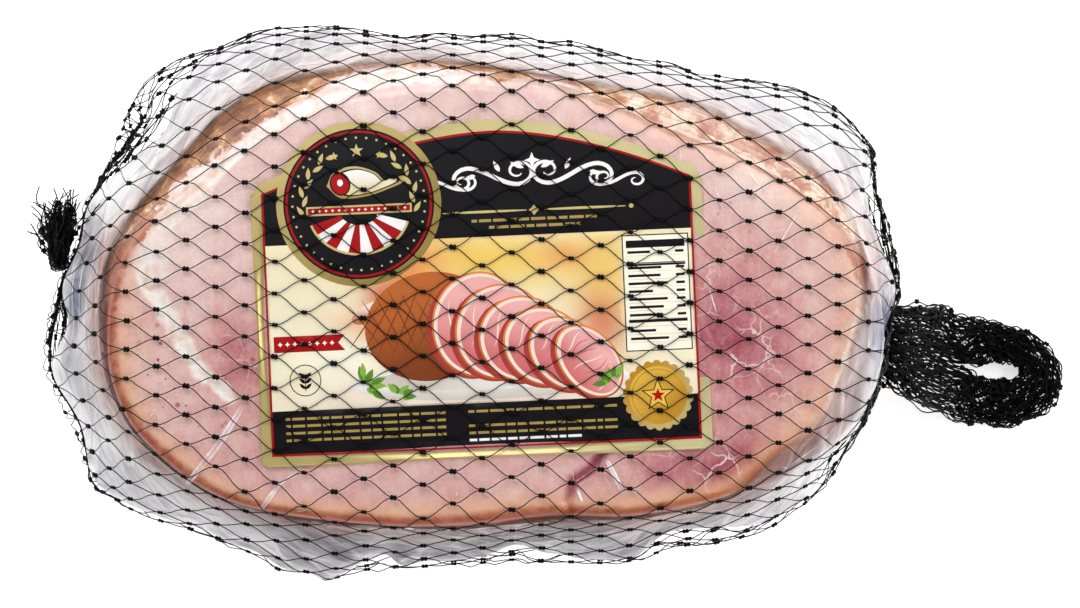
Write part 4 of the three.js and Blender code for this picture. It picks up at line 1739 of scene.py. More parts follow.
@dataclass(frozen=True)
class PackNet:
    """The net round the pack: rings of knots across the net's pull, joined by wavy strands.

    Knots are counted round the net in half meshes, so that every second ring stands half a mesh on.
    """

    cells: int = 47
    pitch: float = 10.36  # half a mesh along the pull
    first_ring: float = -58.8
    rings_left: int = 6  # rings that stand straight across, left and right of the first
    rings_right: int = 19
    over_left: int = 4  # rings from the last straight one over the end's edge
    over_right: int = 2
    gather_steps: int = 5  # rings from there to the tie
    ray_height: float = 62.0  # where the rays that find a straight ring start
    upper_side: float = 60.0  # above it the meshes are as seen from above, below it evened out
    end_reach: float = 44.0  # how far inside a tie the rays that find the end's rings start
    face_cell: float = 11.2  # width of a mesh over the middle of the face, and by its ends
    end_cell: float = 10.0
    far_cell: Pair = (1.2, 0.5)  # at the far outline, as seen from above, and its growth inwards
    near_cell: Pair = (3.4, 0.36)  # and at the near outline
    longest_cell: float = 15.0
    tie_left: Triple = (-147.0, 14.0, 58.0)
    tie_right: Triple = (147.5, -14.8, 50.0)
    phase: float = 0.26  # of the knots from the gather line, in half meshes
    over_film: float = 0.35
    over_label: float = 1.25
    film_room: float = 0.32  # the least that the strands' middles stand over the film
    draw_in: float = 0.66  # share of the gap to the film that slack strands take up
    slack_length: float = 3.0  # lumps of that slack round the pack in a radian, and in a millimetre of height
    slack_height: float = 0.13
    sag_size: float = 9.0  # of the uneven sag of single meshes
    long_bar: float = 15.0  # strands longer than this have twice the steps
    strand: float = 0.18
    steps: int = 10
    seed: int = 4

    def gather_line(self, x: float) -> float:
        """Where the line between the two ties lies across the pack."""
        share = (x - self.tie_left[0]) / (self.tie_right[0] - self.tie_left[0])
        return self.tie_left[1] + (self.tie_right[1] - self.tie_left[1]) * share

    def cast(self, solid: BVHTree, start: Array, ways: Array) -> Array:
        """Where rays from inside the pack meet its surface."""
        origin = Vector(to_row(start))
        return to_pack([solid.ray_cast(origin, Vector(way))[0] for way in ways])

    def ring(self, solid: BVHTree, x: float) -> Array:
        """A straight ring's points for every half mesh, with the slack of the net drawn underneath.

        Args:
            solid: The pack's solid.
            x: Where it stands along the pack.

        Returns:
            The ring's points.
        """
        turn = np.pi / 2 + np.linspace(0, 2 * np.pi, 721)
        ways = np.c_[0 * turn, np.cos(turn), np.sin(turn)]
        loop = self.cast(solid, np.array([x, self.gather_line(x), self.ray_height]), ways)
        length = lengths(np.diff(loop, axis=0))
        flat = np.abs(np.diff(loop[:, 1])) / length
        above = (loop[1:, 2] + loop[:-1, 2]) / 2 > self.upper_side
        across = (loop[1:, 1] + loop[:-1, 1]) / 2
        wide = mix(self.face_cell, self.end_cell, smooth(np.array(abs(x)), 55.0, 115.0))
        far = self.far_cell[0] + self.far_cell[1] * (loop[:, 1].max() - across)
        near = self.near_cell[0] + self.near_cell[1] * (across - loop[:, 1].min())
        cell = np.minimum(np.minimum(far, near), wide) / np.maximum(flat, 0.05)
        density = 1 / np.minimum(cell, self.longest_cell)
        left_over = self.cells - np.sum(density[above] * length[above])
        density[~above] = left_over / np.sum(length[~above])
        count = np.concatenate([[0.0], np.cumsum(density * length)])
        at = np.mod((np.arange(2 * self.cells) - self.phase) / 2, self.cells)
        return np.stack([np.interp(at, count, loop[:, k]) for k in range(3)], axis=1)

    def arc(self, start: Array, end: Array, steps: int) -> Array:
        """Directions that turn evenly from one to another.

        Args:
            start: The first direction.
            end: The last.
            steps: How many there are.

        Returns:
            The directions.
        """
        start, end = start / np.linalg.norm(start), end / np.linalg.norm(end)
        bend = math.acos(float(np.clip(start @ end, -1, 1)))
        shares = np.linspace(0.0, 1.0, steps)[:, None]
        return (np.sin((1 - shares) * bend) * start + np.sin(shares * bend) * end) / math.sin(bend)

    def end_rings(self, solid: BVHTree, ring: Array, tie: Sequence[float], over: int) -> list[Array]:
        """Rings that go on over the end's edge and then draw in to the tie.

        Args:
            solid: The pack's solid.
            ring: The last straight ring.
            tie: Where the net is gathered.
            over: How many rings go over the edge.

        Returns:
            The rings, each a set of points for every half mesh.
        """
        target = np.array(tie)
        outward = math.copysign(1.0, target[0])
        middle = target + np.array([-self.end_reach * outward, 0.0, 4.0])
        tracks = []
        for start in ring:
            direct = self.cast(solid, middle, self.arc(start - middle, target - middle, 12)[:-1])
            inner = np.array([start[0] - 6.0 * outward, mix(target[1], start[1], 0.93), self.upper_side])
            edge = self.cast(solid, inner, self.arc(start - inner, np.array([outward, 0.0, 0.02]), 9)[-1:])[0]
            share = float(smooth(np.array(start[2]), 52.0, 80.0))
            via = mix(evenly(direct, over + self.gather_steps + 1)[over], edge, share)
            first = self.cast(solid, inner, self.arc(start - inner, via - inner, 12))
            under = middle - np.array([0.0, 0.0, 10.0 * share])
            then = self.cast(solid, under, self.arc(via - under, target - under, 14)[:-1])
            tracks.append(np.vstack([evenly(first, over + 1)[1:], evenly(then, self.gather_steps + 1)[1:]]))
        return list(np.stack(tracks, axis=1))

    def rings(self, solid: BVHTree) -> tuple[list[Array], int]:
        """All rings from the left tie to the right one, and which of them is the first of full rows.

        Args:
            solid: The pack's solid.

        Returns:
            The rings and that number.
        """
        places = self.first_ring + self.pitch * np.arange(-self.rings_left, self.rings_right + 1)
        straight = [self.ring(solid, x) for x in places]
        left = self.end_rings(solid, straight[0], self.tie_left, self.over_left)
        right = self.end_rings(solid, straight[-1], self.tie_right, self.over_right)
        return left[::-1] + straight + right, len(left) + self.rings_left

    def laid_on(self, solid: BVHTree, points: Array) -> tuple[Array, Array]:
        """Points drawn on to the pack's surface and raised over the film or the label.

        Args:
            solid: The pack's solid.
            points: Places near the surface.

        Returns:
            The raised places and the surface's directions there.
        """
        near = [solid.find_nearest(Vector(point)) for point in to_row(points)]
        placed, out = to_pack([found[0] for found in near]), np.array([found[1] for found in near])
        lift = mix(self.over_film, self.over_label, smooth(out[:, 2], 0.35, 0.9))
        return placed + out * lift[:, None], out

    def slackened(self, film: BVHTree, points: Array) -> Array:
        """Points of the even net as it really hangs: tight on the face, loose where the film stands back.

        Args:
            film: The film's faces.
            points: Places, one row each.

        Returns:
            The moved places.
        """
        way = points[:, :2] / lengths(points[:, :2])[:, None]
        pulled = np.clip(bumps_at(np.arctan2(way[:, 1], way[:, 0]), FilmBag().pulled_in), 0, None)
        low = smooth(112.0 - points[:, 2], 0.0, 30.0)
        size = 0.25 + low * (0.45 + 0.05 * np.minimum(pulled, 8))
        sag = np.stack([unevenness(points, self.sag_size, seed) for seed in (1, 2, 3)], axis=1)
        moved = points + size[:, None] * sag * np.array([1.0, 1.0, 0.4])
        lines = np.c_[way * self.slack_length, points[:, 2] * self.slack_height]
        share = smooth(unevenness(lines, 1.0, 6), -0.45, 0.55)
        moved[:, :2] -= way * (self.draw_in * pulled * FORM.fold_share(points[:, 2]) * share)[:, None]
        for k, point in enumerate(to_row(moved)):
            near, normal = film.find_nearest(Vector(point))[:2]
            over = (Vector(point) - near).dot(normal) / MILLIMETRE
            if over < self.film_room:
                moved[k] += (self.film_room - over) * np.array(normal)
        return moved

    def build(self, kit: NetKit, film: BVHTree) -> list[Piece]:
        """Makes the strands and the knots.

        Args:
            kit: What net pieces are made with.
            film: The film's faces.

        Returns:
            The strands and the knots.
        """
        solid = tree_of(frame["nodes"]["ham_pack"])
        rings, full = self.rings(solid)
        turn = 2 * self.cells
        flat, out = self.laid_on(solid, np.vstack(rings))
        grid = flat.reshape(len(rings), turn, 3)
        normals = out.reshape(len(rings), turn, 3)
        paths, starts, pulls, outs = [], [], [], []
        for k in range(len(rings)):
            mine = np.arange((k - full) % 2, turn, 2)
            ahead = grid[min(k + 1, len(rings) - 1)] - grid[max(k - 1, 0)]
            ahead /= lengths(ahead)[:, None]
            starts.append(grid[k][mine])
            pulls.append(ahead[mine])
            outs.append(normals[k][mine])
            if k + 1 < len(rings):
                for side in (-1, 1):
                    paths.append(self.bars(grid[k][mine], grid[k + 1][(mine + side) % turn], ahead[mine]))
        bars = np.vstack(paths)
        middle = bars[:, 1:-1].reshape(-1, 3)
        bars[:, 1:-1] = self.laid_on(solid, middle)[0].reshape(len(bars), self.steps - 1, 3)
        bars = self.slackened(film, bars.reshape(-1, 3)).reshape(bars.shape)
        places = self.slackened(film, np.vstack(starts))
        length = lengths(np.diff(bars, axis=1)).sum(axis=1)
        paths = [bar if size > self.long_bar else bar[::2] for bar, size in zip(bars, length)]
        strands = kit.tubes("net_strands", paths, self.strand, 4)
        knots = kit.lumps("net_knots", places, np.vstack(pulls), np.vstack(outs), self.seed)
        return [strands, knots]

    def bars(self, start: Array, end: Array, ahead: Array) -> Array:
        """Strands that leave one knot along the pull and come into the next along it.

        Args:
            start: The first knots.
            end: The next knots.
            ahead: The pull at the first.

        Returns:
            The points of each strand.
        """
        shares = np.linspace(0.0, 1.0, self.steps + 1)[None, :, None]
        gap = end - start
        along = np.sum(gap * ahead, axis=1)[:, None] * ahead
        aside = gap - along
        wave = (1 - np.cos(np.pi * shares)) / 2
        return start[:, None] + along[:, None] * shares + aside[:, None] * wave


# ---- The label's print, in the sheet's own frame: millimetres right of its middle and up from its foot ----


class Ink(str, Enum):
    """The inks of the print, each as a colour in sRGB."""

    GOLD = "#CBB979"
    PALE_GOLD = "#E6D9A2"
    OLD_GOLD = "#A8904E"
    BRIGHT_GOLD = "#E9BE4B"
    AMBER = "#C98F2C"
    RED = "#A60A10"
    BLACK = "#0E0B11"
    CREAM = "#F1E8C8"
    IVORY = "#FBF7E2"
    WHITE = "#F7F5F2"
    SUN = "#F0C95C"
    ORANGE = "#E58A48"
    TOMATO = "#CB4430"
    BLUSH = "#EBD3CC"
    LEAF = "#86B047"
    DEEP_LEAF = "#56852F"
    ROSE = "#F0B0AD"
    DEEP_ROSE = "#D0696A"
    SHADE = "#A93C36"
    CRUST = "#B9652F"
    DARK_CRUST = "#7E3C1C"
    FAT = "#F7DFCE"
    STONE = "#CFC6BA"


@dataclass(frozen=True)
class Wash:
    """How a field is inked: evenly, fading into a second ink, or with soft clouds of others."""

    ink: Ink
    into: Ink | None = None
    start: Pair = (0.0, 0.0)
    end: Pair = (0.0, 1.0)
    clouds: tuple[tuple[Ink, Blot], ...] = ()
    foil: float = 0.0

    def at(self, places: Array) -> Array:
        """The ink's linear colour at places on the sheet, and the foil there as a fifth column.

        Args:
            places: Places on the sheet.

        Returns:
            Five values for each place.
        """
        colour = np.tile(linear(self.ink.value), (len(places), 1))
        if self.into:
            a, b = np.array(self.start), np.array(self.end)
            share = smooth(((places - a) @ (b - a)) / ((b - a) @ (b - a)), 0.0, 1.0)
            colour = mix(colour, np.array(linear(self.into.value)), share[:, None])
        for ink, cloud in self.clouds:
            share = np.clip(cloud.share(places), 0, 1)
            colour = mix(colour, np.array(linear(ink.value)), share[:, None])
        return np.c_[colour, np.full(len(places), self.foil)]


@dataclass(frozen=True)
class Field:
    """A field of the print: its outline and how it is inked."""

    outline: Array
    wash: Wash

    def holds(self, places: Array) -> Array:
        """Which places lie inside the outline.

        Args:
            places: Places on the sheet.

        Returns:
            True or false for each place.
        """
        x, y = places[:, 0], places[:, 1]
        inside = np.zeros(len(places), bool)
        low, high = self.outline.min(axis=0), self.outline.max(axis=0)
        near = np.flatnonzero((x >= low[0]) & (x <= high[0]) & (y >= low[1]) & (y <= high[1]))
        crossings = np.zeros(len(near), int)
        for a, b in zip(self.outline, np.roll(self.outline, -1, axis=0)):
            if a[1] == b[1]:
                continue
            level = (a[1] > y[near]) != (b[1] > y[near])
            meet = a[0] + (b[0] - a[0]) * (y[near] - a[1]) / (b[1] - a[1])
            crossings += level & (x[near] < meet)
        inside[near] = crossings % 2 == 1
        return inside


def inked(outline: Array, ink: Ink) -> Field:
    """A field in one even ink."""
    return Field(outline, Wash(ink))


def turned(points: Array, degrees: float) -> Array:
    """Points in plan turned anticlockwise about the origin."""
    c, s = math.cos(math.radians(degrees)), math.sin(math.radians(degrees))
    return points @ np.array([[c, s], [-s, c]])


def disc(
    x: float, y: float, length: float, width: float = 0.0, turn: float = 0.0,
    waves: int = 0, wave: float = 0.0,
) -> Array:
    """A round or oval outline, scalloped if it has waves.

    Args:
        x: Middle, to the right.
        y: Middle, upwards.
        length: Half its length, or its radius.
        width: Half its width, if not round.
        turn: Turn in degrees.
        waves: How many scallops it has.
        wave: How far a scallop stands out.

    Returns:
        The outline.
    """
    angle = 2 * np.pi * np.arange(max(20, 8 * waves)) / max(20, 8 * waves)
    if length > 8 and not waves:
        angle = 2 * np.pi * np.arange(64) / 64
    reach = 1 + wave / length * np.abs(np.sin(waves * angle / 2)) if waves else 1 + 0 * angle
    oval = np.stack([length * np.cos(angle), (width or length) * np.sin(angle)], axis=1) * reach[:, None]
    return turned(oval, turn) + np.array([x, y])


def box(left: float, low: float, right: float, high: float) -> Array:
    """An upright rectangle's outline."""
    return np.array([[left, low], [right, low], [right, high], [left, high]])


def star(x: float, y: float, reach: float, points: int = 5, waist: float = 0.42) -> Array:
    """A star's outline, with one point up.

    Args:
        x: Middle, to the right.
        y: Middle, upwards.
        reach: Its radius.
        points: How many points it has.
        waist: How deep it is cut, as a share.

    Returns:
        The outline.
    """
    angle = np.pi / 2 + np.pi * np.arange(2 * points) / points
    radius = np.where(np.arange(2 * points) % 2 == 0, reach, reach * waist)
    return polar(angle, radius) + np.array([x, y])


def leaf(x: float, y: float, heading: float, length: float, width: float) -> Array:
    """A pointed leaf's outline from its stalk at a place.

    Args:
        x: Stalk, to the right.
        y: Stalk, upwards.
        heading: Its direction in degrees.
        length: Its length.
        width: Its width.

    Returns:
        The outline.
    """
    t = np.linspace(0, 1, 7)
    half = width / 2 * np.sin(np.pi * t**0.8)
    upper, lower = np.c_[t * length, half], np.c_[t * length, -half]
    return turned(np.vstack([lower, upper[-2:0:-1]]), heading) + np.array([x, y])


def stroke(path: Array, thick: float, tip: float = 0.2) -> Array:
    """The outline of a brush stroke, thick in the middle and thin at its tips.

    Args:
        path: Its middle line.
        thick: Its width.
        tip: The share of it at the tips.

    Returns:
        The outline.
    """
    side = sideways(path)
    t = np.linspace(0, 1, len(path))
    half = thick / 2 * mix(tip, 1.0, np.sin(np.pi * t) ** 0.8)
    return np.vstack([path + side * half[:, None], (path - side * half[:, None])[::-1]])


def scroll(x: float, y: float, reach: float, curl: float, turns: float, flip: float = 1.0) -> Array:
    """An S with a curl at both ends.

    Args:
        x: Middle, to the right.
        y: Middle, upwards.
        reach: Half the distance between the curls.
        curl: Radius of a curl.
        turns: How many times a curl winds.
        flip: 1, or -1 for the mirror image.

    Returns:
        The path.
    """
    t = np.linspace(0, 1, 22)
    angle = -np.pi / 2 - 2 * np.pi * turns * (1 - t)
    radius = curl * (0.25 + 0.75 * t)
    left = np.c_[radius * np.cos(angle), radius * np.sin(angle) * 0.8] + np.array([-reach, 0.25 * curl])
    s = np.linspace(0, 1, 14)[1:-1]
    rise = left[-1, 1] + (-2 * left[-1, 1]) * (1 - np.cos(np.pi * s)) / 2
    middle = np.c_[-reach + 2 * reach * s, rise]
    path = np.vstack([left, middle, -left[::-1]])
    return path * np.array([1.0, flip]) + np.array([x, y])


@dataclass(frozen=True)
class LabelArt:
    """The print of the label: a plain deli design of bands, a round badge and a platter of ham."""

    half_width: float = 79.0
    side_height: float = 98.0
    arch: float = 20.4
    arch_at: float = 6.0
    arch_power: float = 1.7
    corner: float = 3.0
    border: float = 3.7
    line: float = 0.8
    banner_foot: float = 77.5
    band_top: float = 19.5
    badge: Pair = (-41.2, 90.9)
    badge_radius: float = 28.9

    def arch_height(self, along: Array) -> Array:
        """Height of the arched top edge."""
        span = self.half_width + self.arch_at * np.sign(self.arch_at - along)
        return self.side_height + self.arch * (1 - np.abs((along - self.arch_at) / span) ** self.arch_power)

    def panel(self, inset: float, low: float, high: float | None = None) -> Array:
        """The sheet's own outline, drawn in by an inset and cut between two heights.

        Args:
            inset: How far it is drawn in.
            low: Its foot.
            high: Its top, if cut.

        Returns:
            The outline.
        """
        side = self.half_width - inset
        if high is not None:
            return box(-side, low, side, high)
        along = np.linspace(side, -side, 60)
        top = self.arch_height(along) - inset * 1.04
        if inset:
            return np.vstack([[[-side, low], [side, low]], np.c_[along, top]])
        cut = self.corner
        away = np.clip(np.abs(along) - (side - cut), 0, cut)
        top = top - (cut - np.sqrt(np.maximum(cut**2 - away**2, 0)))
        angle = np.linspace(0, np.pi / 2, 6)
        left = np.c_[-side + cut - cut * np.cos(angle), cut - cut * np.sin(angle)]
        right = np.c_[side - cut + cut * np.sin(angle), cut - cut * np.cos(angle)]
        return np.vstack([left, right, np.c_[along, top]])

    def fields(self) -> list[Field]:
        """All fields of the print, from the lowest to the topmost.

        Returns:
            The fields, from the lowest up.
        """
        parts = (self.ground, self.platter, self.leaves, self.facts, self.foot_band, self.banner)
        more = (self.flourish, self.badge_rings, self.badge_motif, self.rosette, self.ribbon, self.stamp)
        return [field for part in parts + more for field in part()]

    def ground(self) -> list[Field]:
        """The gold border, the red line in it and the blurred warm picture ground.

        Returns:
            The fields, from the lowest up.
        """
        gold = Wash(Ink.GOLD, Ink.PALE_GOLD, (-60, 0), (70, -4), foil=1.0)
        inner = self.border + self.line
        clouds = (
            (Ink.SUN, Blot(2, 70, 50, 12, -4, 0.95)), (Ink.SUN, Blot(44, 62, 12, 22, 0, 0.75)),
            (Ink.ORANGE, Blot(-24, 66, 13, 10, 30, 0.85)), (Ink.TOMATO, Blot(-33, 57, 8, 7, 0, 0.85)),
            (Ink.ORANGE, Blot(-42, 47, 12, 5, -20, 0.6)), (Ink.TOMATO, Blot(42, 46, 9, 12, 10, 0.7)),
            (Ink.ORANGE, Blot(30, 70, 10, 5, 0, 0.6)), (Ink.IVORY, Blot(-52, 36, 16, 10, 0, 0.8)),
            (Ink.BLUSH, Blot(0, 22, 60, 7, 0, 0.8)),
        )
        return [
            Field(self.panel(0, 0), gold), Field(disc(*self.badge, self.badge_radius), gold),
            inked(self.panel(self.border, self.border), Ink.RED),
            Field(self.panel(inner, inner, self.banner_foot), Wash(Ink.CREAM, clouds=clouds)),
        ]

    def platter(self) -> list[Field]:
        """A glazed joint on a white dish, with slices falling away from it.

        Returns:
            The fields, from the lowest up.
        """
        fields = [
            Field(disc(2, 27.0, 49, 6.4), Wash(Ink.WHITE, Ink.STONE, (2, 30), (2, 20))),
            Field(disc(2, 28.4, 42, 4.2), Wash(Ink.STONE, Ink.WHITE, (-30, 0), (30, 0))),
            Field(disc(-38, 53, 8, 3.2, 24), Wash(Ink.FAT, Ink.CRUST, (-38, 56), (-38, 48))),
            Field(disc(-18, 47, 23, 19, 8), Wash(Ink.CRUST, Ink.DARK_CRUST, (-22, 62), (-14, 30))),
        ]
        for k in range(-3, 4):
            rise = np.linspace(-1, 1, 9)
            for lean in (-1, 1):
                path = np.c_[-27 + 4.6 * k + 5.5 * lean * rise, 48 + 13 * rise * (1 - abs(k) / 7)]
                fields.append(inked(stroke(path, 0.5), Ink.DARK_CRUST))
        for k in range(6):
            fields += self.slice(-1 + 7.6 * k, 47 - 2.9 * k, 16.5 - 0.4 * k, 18.5 - 1.7 * k, -8 - 9 * k)
        return fields

    def slice(self, x: float, y: float, length: float, width: float, turn: float) -> list[Field]:
        """One slice: its shadow, browned rim, fat and rosy meat with its grain.

        Args:
            x: Middle, to the right.
            y: Middle, upwards.
            length: Half its length.
            width: Half its width.
            turn: Turn in degrees.

        Returns:
            The fields, from the lowest up.
        """
        lean = turned(np.array([[0.0, 1.0]]), turn)[0] * width
        middle = np.array([x, y])
        rosy = Wash(Ink.ROSE, Ink.DEEP_ROSE, middle + 0.7 * lean, middle - lean)
        browned = Wash(Ink.CRUST, Ink.ORANGE, (x, y - width), (x, y + width))
        fields = [
            inked(disc(x - 1.7, y - 0.6, length, width, turn), Ink.SHADE),
            Field(disc(x, y, length, width, turn), browned),
            inked(disc(x, y, length - 0.7, width - 0.7, turn), Ink.FAT),
            Field(disc(x + 0.3, y - 0.1, length - 1.7, width - 1.7, turn), rosy),
        ]
        for k in range(-3, 4):
            t = np.linspace(-1, 1, 9)
            path = np.c_[0.2 * length * k + 1.3 * np.sin(2 * t + k), 0.62 * width * t * (1 - 0.1 * abs(k))]
            ink = Ink.FAT if k % 3 == 0 else Ink.DEEP_ROSE
            fields.append(inked(stroke(turned(path, turn) + [x, y], 0.5, 0.1), ink))
        return fields

    def leaves(self) -> list[Field]:
        """Two sprigs of green beside the dish.

        Returns:
            The fields, from the lowest up.
        """
        fields = []
        for x, y, lean, count in ((-42, 27, 35, 16), (45, 25, 120, 12), (-30, 23, 60, 8)):
            for k in range(count):
                heading = lean + 70 * math.sin(2.4 * k)
                reach = 2.0 + 0.45 * k
                at = np.array([x, y]) + turned(np.array([[0.35 * reach, 0.0]]), heading)[0]
                ink = (Ink.LEAF, Ink.DEEP_LEAF)[k % 2]
                shape = leaf(*at, heading, 3.4 + 0.15 * k, 2.2)
                fields.append(Field(shape, Wash(ink, Ink.LEAF, tuple(at), (x + 9, y + 9))))
        return fields

    def facts(self) -> list[Field]:
        """A plain ruled panel at the right.

        Returns:
            The fields, from the lowest up.
        """
        left, low, right, high = 50.5, 35.5, 73.0, 75.5
        fields = [
            inked(box(left - 0.4, low - 0.4, right + 0.4, high + 0.4), Ink.BLACK),
            inked(box(left, low, right, high), Ink.IVORY),
            inked(box(left + 1, high - 4.2, right - 1, high - 1.6), Ink.BLACK),
            inked(box(left + 1, high - 10.6, right - 1, high - 9.4), Ink.BLACK),
            inked(box(left + 1, low + 9.6, right - 1, low + 10.7), Ink.BLACK),
        ]
        for row in range(12):
            y = high - 6.2 - 2.75 * row
            if abs(y - high + 10) > 1.4 and abs(y - low - 10) > 1.4:
                length = 8.0 + 6.0 * abs(math.sin(1.9 * row))
                fields.append(inked(box(left + 1.4, y, left + 1.4 + length, y + 0.9), Ink.BLACK))
                fields.append(inked(box(right - 4.4, y, right - 1.4, y + 0.9), Ink.BLACK))
            fields.append(inked(box(left + 1, y - 0.9, right - 1, y - 0.75), Ink.STONE))
        return fields

    def ruled(self, left: float, right: float, y: float, thick: float, ink: Ink, row: int) -> list[Field]:
        """A row of short bars of uneven length.

        Args:
            left: Where it starts.
            right: Where it ends.
            y: Its foot.
            thick: Its height.
            ink: Its ink.
            row: Its number, which varies the bars.

        Returns:
            The fields, from the lowest up.
        """
        fields, x, k = [], left, row
        while x < right - 1.2:
            length = min(1.6 + 3.4 * abs(math.sin(2.17 * k + row)), right - x)
            fields.append(inked(box(x, y, x + length, y + thick), ink))
            x, k = x + length + 0.7, k + 1
        return fields

    def foot_band(self) -> list[Field]:
        """The black band at the foot, with rows of short gold bars.

        Returns:
            The fields, from the lowest up.
        """
        inner = self.border + self.line
        fields = [inked(self.panel(inner, inner, self.band_top), Ink.BLACK)]
        for row, y in enumerate((16.2, 13.7, 11.2, 8.7)):
            fields += self.ruled(-70, -14, y, 0.9, Ink.OLD_GOLD, row)
            if row != 1:
                fields += self.ruled(-6, 46, y, 0.9, Ink.OLD_GOLD, row + 5)
        fields += self.ruled(-6, 34, 6.2, 0.9, Ink.WHITE, 11)
        return fields

    def banner(self) -> list[Field]:
        """The black arched banner."""
        inner = self.border + self.line
        return [inked(self.panel(inner, self.banner_foot), Ink.BLACK)]

    def flourish(self) -> list[Field]:
        """White curls over a gold line with a small diamond.

        Returns:
            The fields, from the lowest up.
        """
        fields = []
        for side in (-1, 1):
            for x, y, reach, curl, turns, thick in (
                (14.0, 98.5, 9.0, 5.6, 1.15, 1.5), (30.5, 96.0, 5.5, 3.2, 1.0, 1.1),
            ):
                path = scroll(x, y, reach, curl, turns) - np.array([0.0, 98.0])
                path = path * np.array([side, 1.0]) + np.array([20.0, 98.0])
                fields.append(inked(stroke(path, thick), Ink.WHITE))
            for k, heading in enumerate((25, 62, -18)):
                shape = leaf(3.0 + 8.5 * k, 0.5 - k, heading, 5.2 - 0.8 * k, 1.7) * np.array([side, 1.0])
                fields.append(inked(shape + np.array([20.0, 100.5]), Ink.WHITE))
            bar = np.linspace(2.6, 32, 12)
            line = np.c_[20 + side * bar, 86.2 + 0 * bar]
            fields.append(inked(stroke(line, 0.9, 0.3), Ink.GOLD))
            fields.append(inked(disc(20 + side * 34, 86.2, 0.8), Ink.GOLD))
        fields.append(inked(star(20, 86.2, 1.9, 4, 0.6), Ink.GOLD))
        fields.append(inked(star(20, 103.6, 2.8, 4, 0.4), Ink.WHITE))
        for row, y in enumerate((82.6, 80.2)):
            fields += self.ruled(-2 + 6 * row, 42 - 6 * row, y, 1.0, Ink.OLD_GOLD, row + 3)
        return fields

    def badge_rings(self) -> list[Field]:
        """The badge's gold rim, black ground, red ring and beads.

        Returns:
            The fields, from the lowest up.
        """
        x, y = self.badge
        gold = Wash(Ink.GOLD, Ink.OLD_GOLD, (x - 20, y + 20), (x + 20, y - 20), foil=1.0)
        fields = [
            Field(disc(x, y, self.badge_radius), gold), inked(disc(x, y, 26.4), Ink.BLACK),
            inked(disc(x, y, 25.7), Ink.RED), inked(disc(x, y, 24.9), Ink.BLACK),
        ]
        for k in range(40):
            bead = polar(np.array([2 * np.pi * k / 40]), 23.2)[0] + self.badge
            fields.append(inked(disc(*bead, 0.42), Ink.GOLD))
        return fields

    def badge_motif(self) -> list[Field]:
        """A leg of ham over a fan of red and white, between two sprigs.

        Returns:
            The fields, from the lowest up.
        """
        x, y = self.badge
        fields = []
        for k in range(10):
            angle = np.radians(np.linspace(198 + 14.4 * k, 198 + 14.4 * (k + 1), 4))
            fan = np.vstack([[[0.0, 0.0]], polar(angle, 17.5)])
            fields.append(inked(fan * [1.0, 0.88] + [x, y - 2.0], (Ink.RED, Ink.WHITE)[k % 2]))
            edge = stroke(polar(angle, 17.8) * [1.0, 0.88] + [x, y - 2.0], 0.8, 1.0)
            fields.append(inked(edge, Ink.GOLD))
        fields.append(inked(disc(x, y - 2.0, 7.0, 5.4), Ink.BLACK))
        fields += [
            inked(box(x - 18.5, y - 3.6, x + 18.5, y - 0.4), Ink.GOLD),
            inked(box(x - 17.9, y - 3.0, x + 17.9, y - 1.0), Ink.RED),
        ]
        for k in range(-7, 8):
            fields.append(inked(star(x + 2.3 * k, y - 2.0, 0.62, 4, 0.45), Ink.WHITE))
        leg = (
            (-11, 6.6), (-8, 11.6), (-1, 13.2), (6, 11.0), (10, 7.6), (15.4, 9.2), (16.2, 7.2), (10, 4.6),
            (3, 2.6), (-6, 2.2),
        )
        shape = through(np.array(leg + leg[:1], float), 60)[:-1]
        cream = Wash(Ink.WHITE, Ink.PALE_GOLD, (x, y + 12), (x, y + 3))
        middle = shape.mean(axis=0)
        fields += [
            Field(shape + [x, y], Wash(Ink.GOLD, Ink.OLD_GOLD, (x, y + 13), (x, y + 2))),
            inked((shape - middle) * 0.86 + middle + [x, y], Ink.BLACK),
            Field((shape - middle) * 0.78 + middle + [x, y], cream),
            inked(disc(x - 6.2, y + 7.2, 3.6, 4.2, 20), Ink.BLACK),
            inked(disc(x - 6.2, y + 7.2, 3.1, 3.7, 20), Ink.RED),
            inked(disc(x - 6.2, y + 7.6, 1.0, 1.2), Ink.WHITE),
        ]
        for side in (-1, 1):
            for k in range(8):
                angle = math.radians(90 + side * (34 + 9.5 * k))
                at = np.array(self.badge) + 19.6 * np.array([math.cos(angle), math.sin(angle)])
                heading = math.degrees(angle) - side * 90 + side * 24 * (1 if k % 2 else -1)
                fields.append(inked(leaf(*at, heading, 4.4, 1.6), Ink.GOLD))
            fields.append(inked(star(x + 8 * side, y + 17.0, 1.6), Ink.GOLD))
        fields.append(inked(star(x, y + 18.6, 2.5), Ink.GOLD))
        return fields

    def rosette(self) -> list[Field]:
        """A scalloped gold seal with a star.

        Returns:
            The fields, from the lowest up.
        """
        x, y = 60.5, 19.5
        bright = Wash(Ink.BRIGHT_GOLD, Ink.AMBER, (x - 8, y + 9), (x + 9, y - 9), foil=0.6)
        edge = Wash(Ink.AMBER, Ink.GOLD, (x - 9, y + 9), (x + 9, y - 9), foil=0.6)
        return [
            Field(disc(x, y, 11.4, waves=22, wave=1.0), edge),
            Field(disc(x, y, 10.2), bright), inked(disc(x, y, 9.3), Ink.AMBER),
            Field(disc(x, y, 8.9), bright), inked(star(x, y, 6.2), Ink.BLACK),
            inked(star(x, y, 5.2), Ink.BRIGHT_GOLD), inked(star(x, y, 2.6), Ink.RED),
        ]

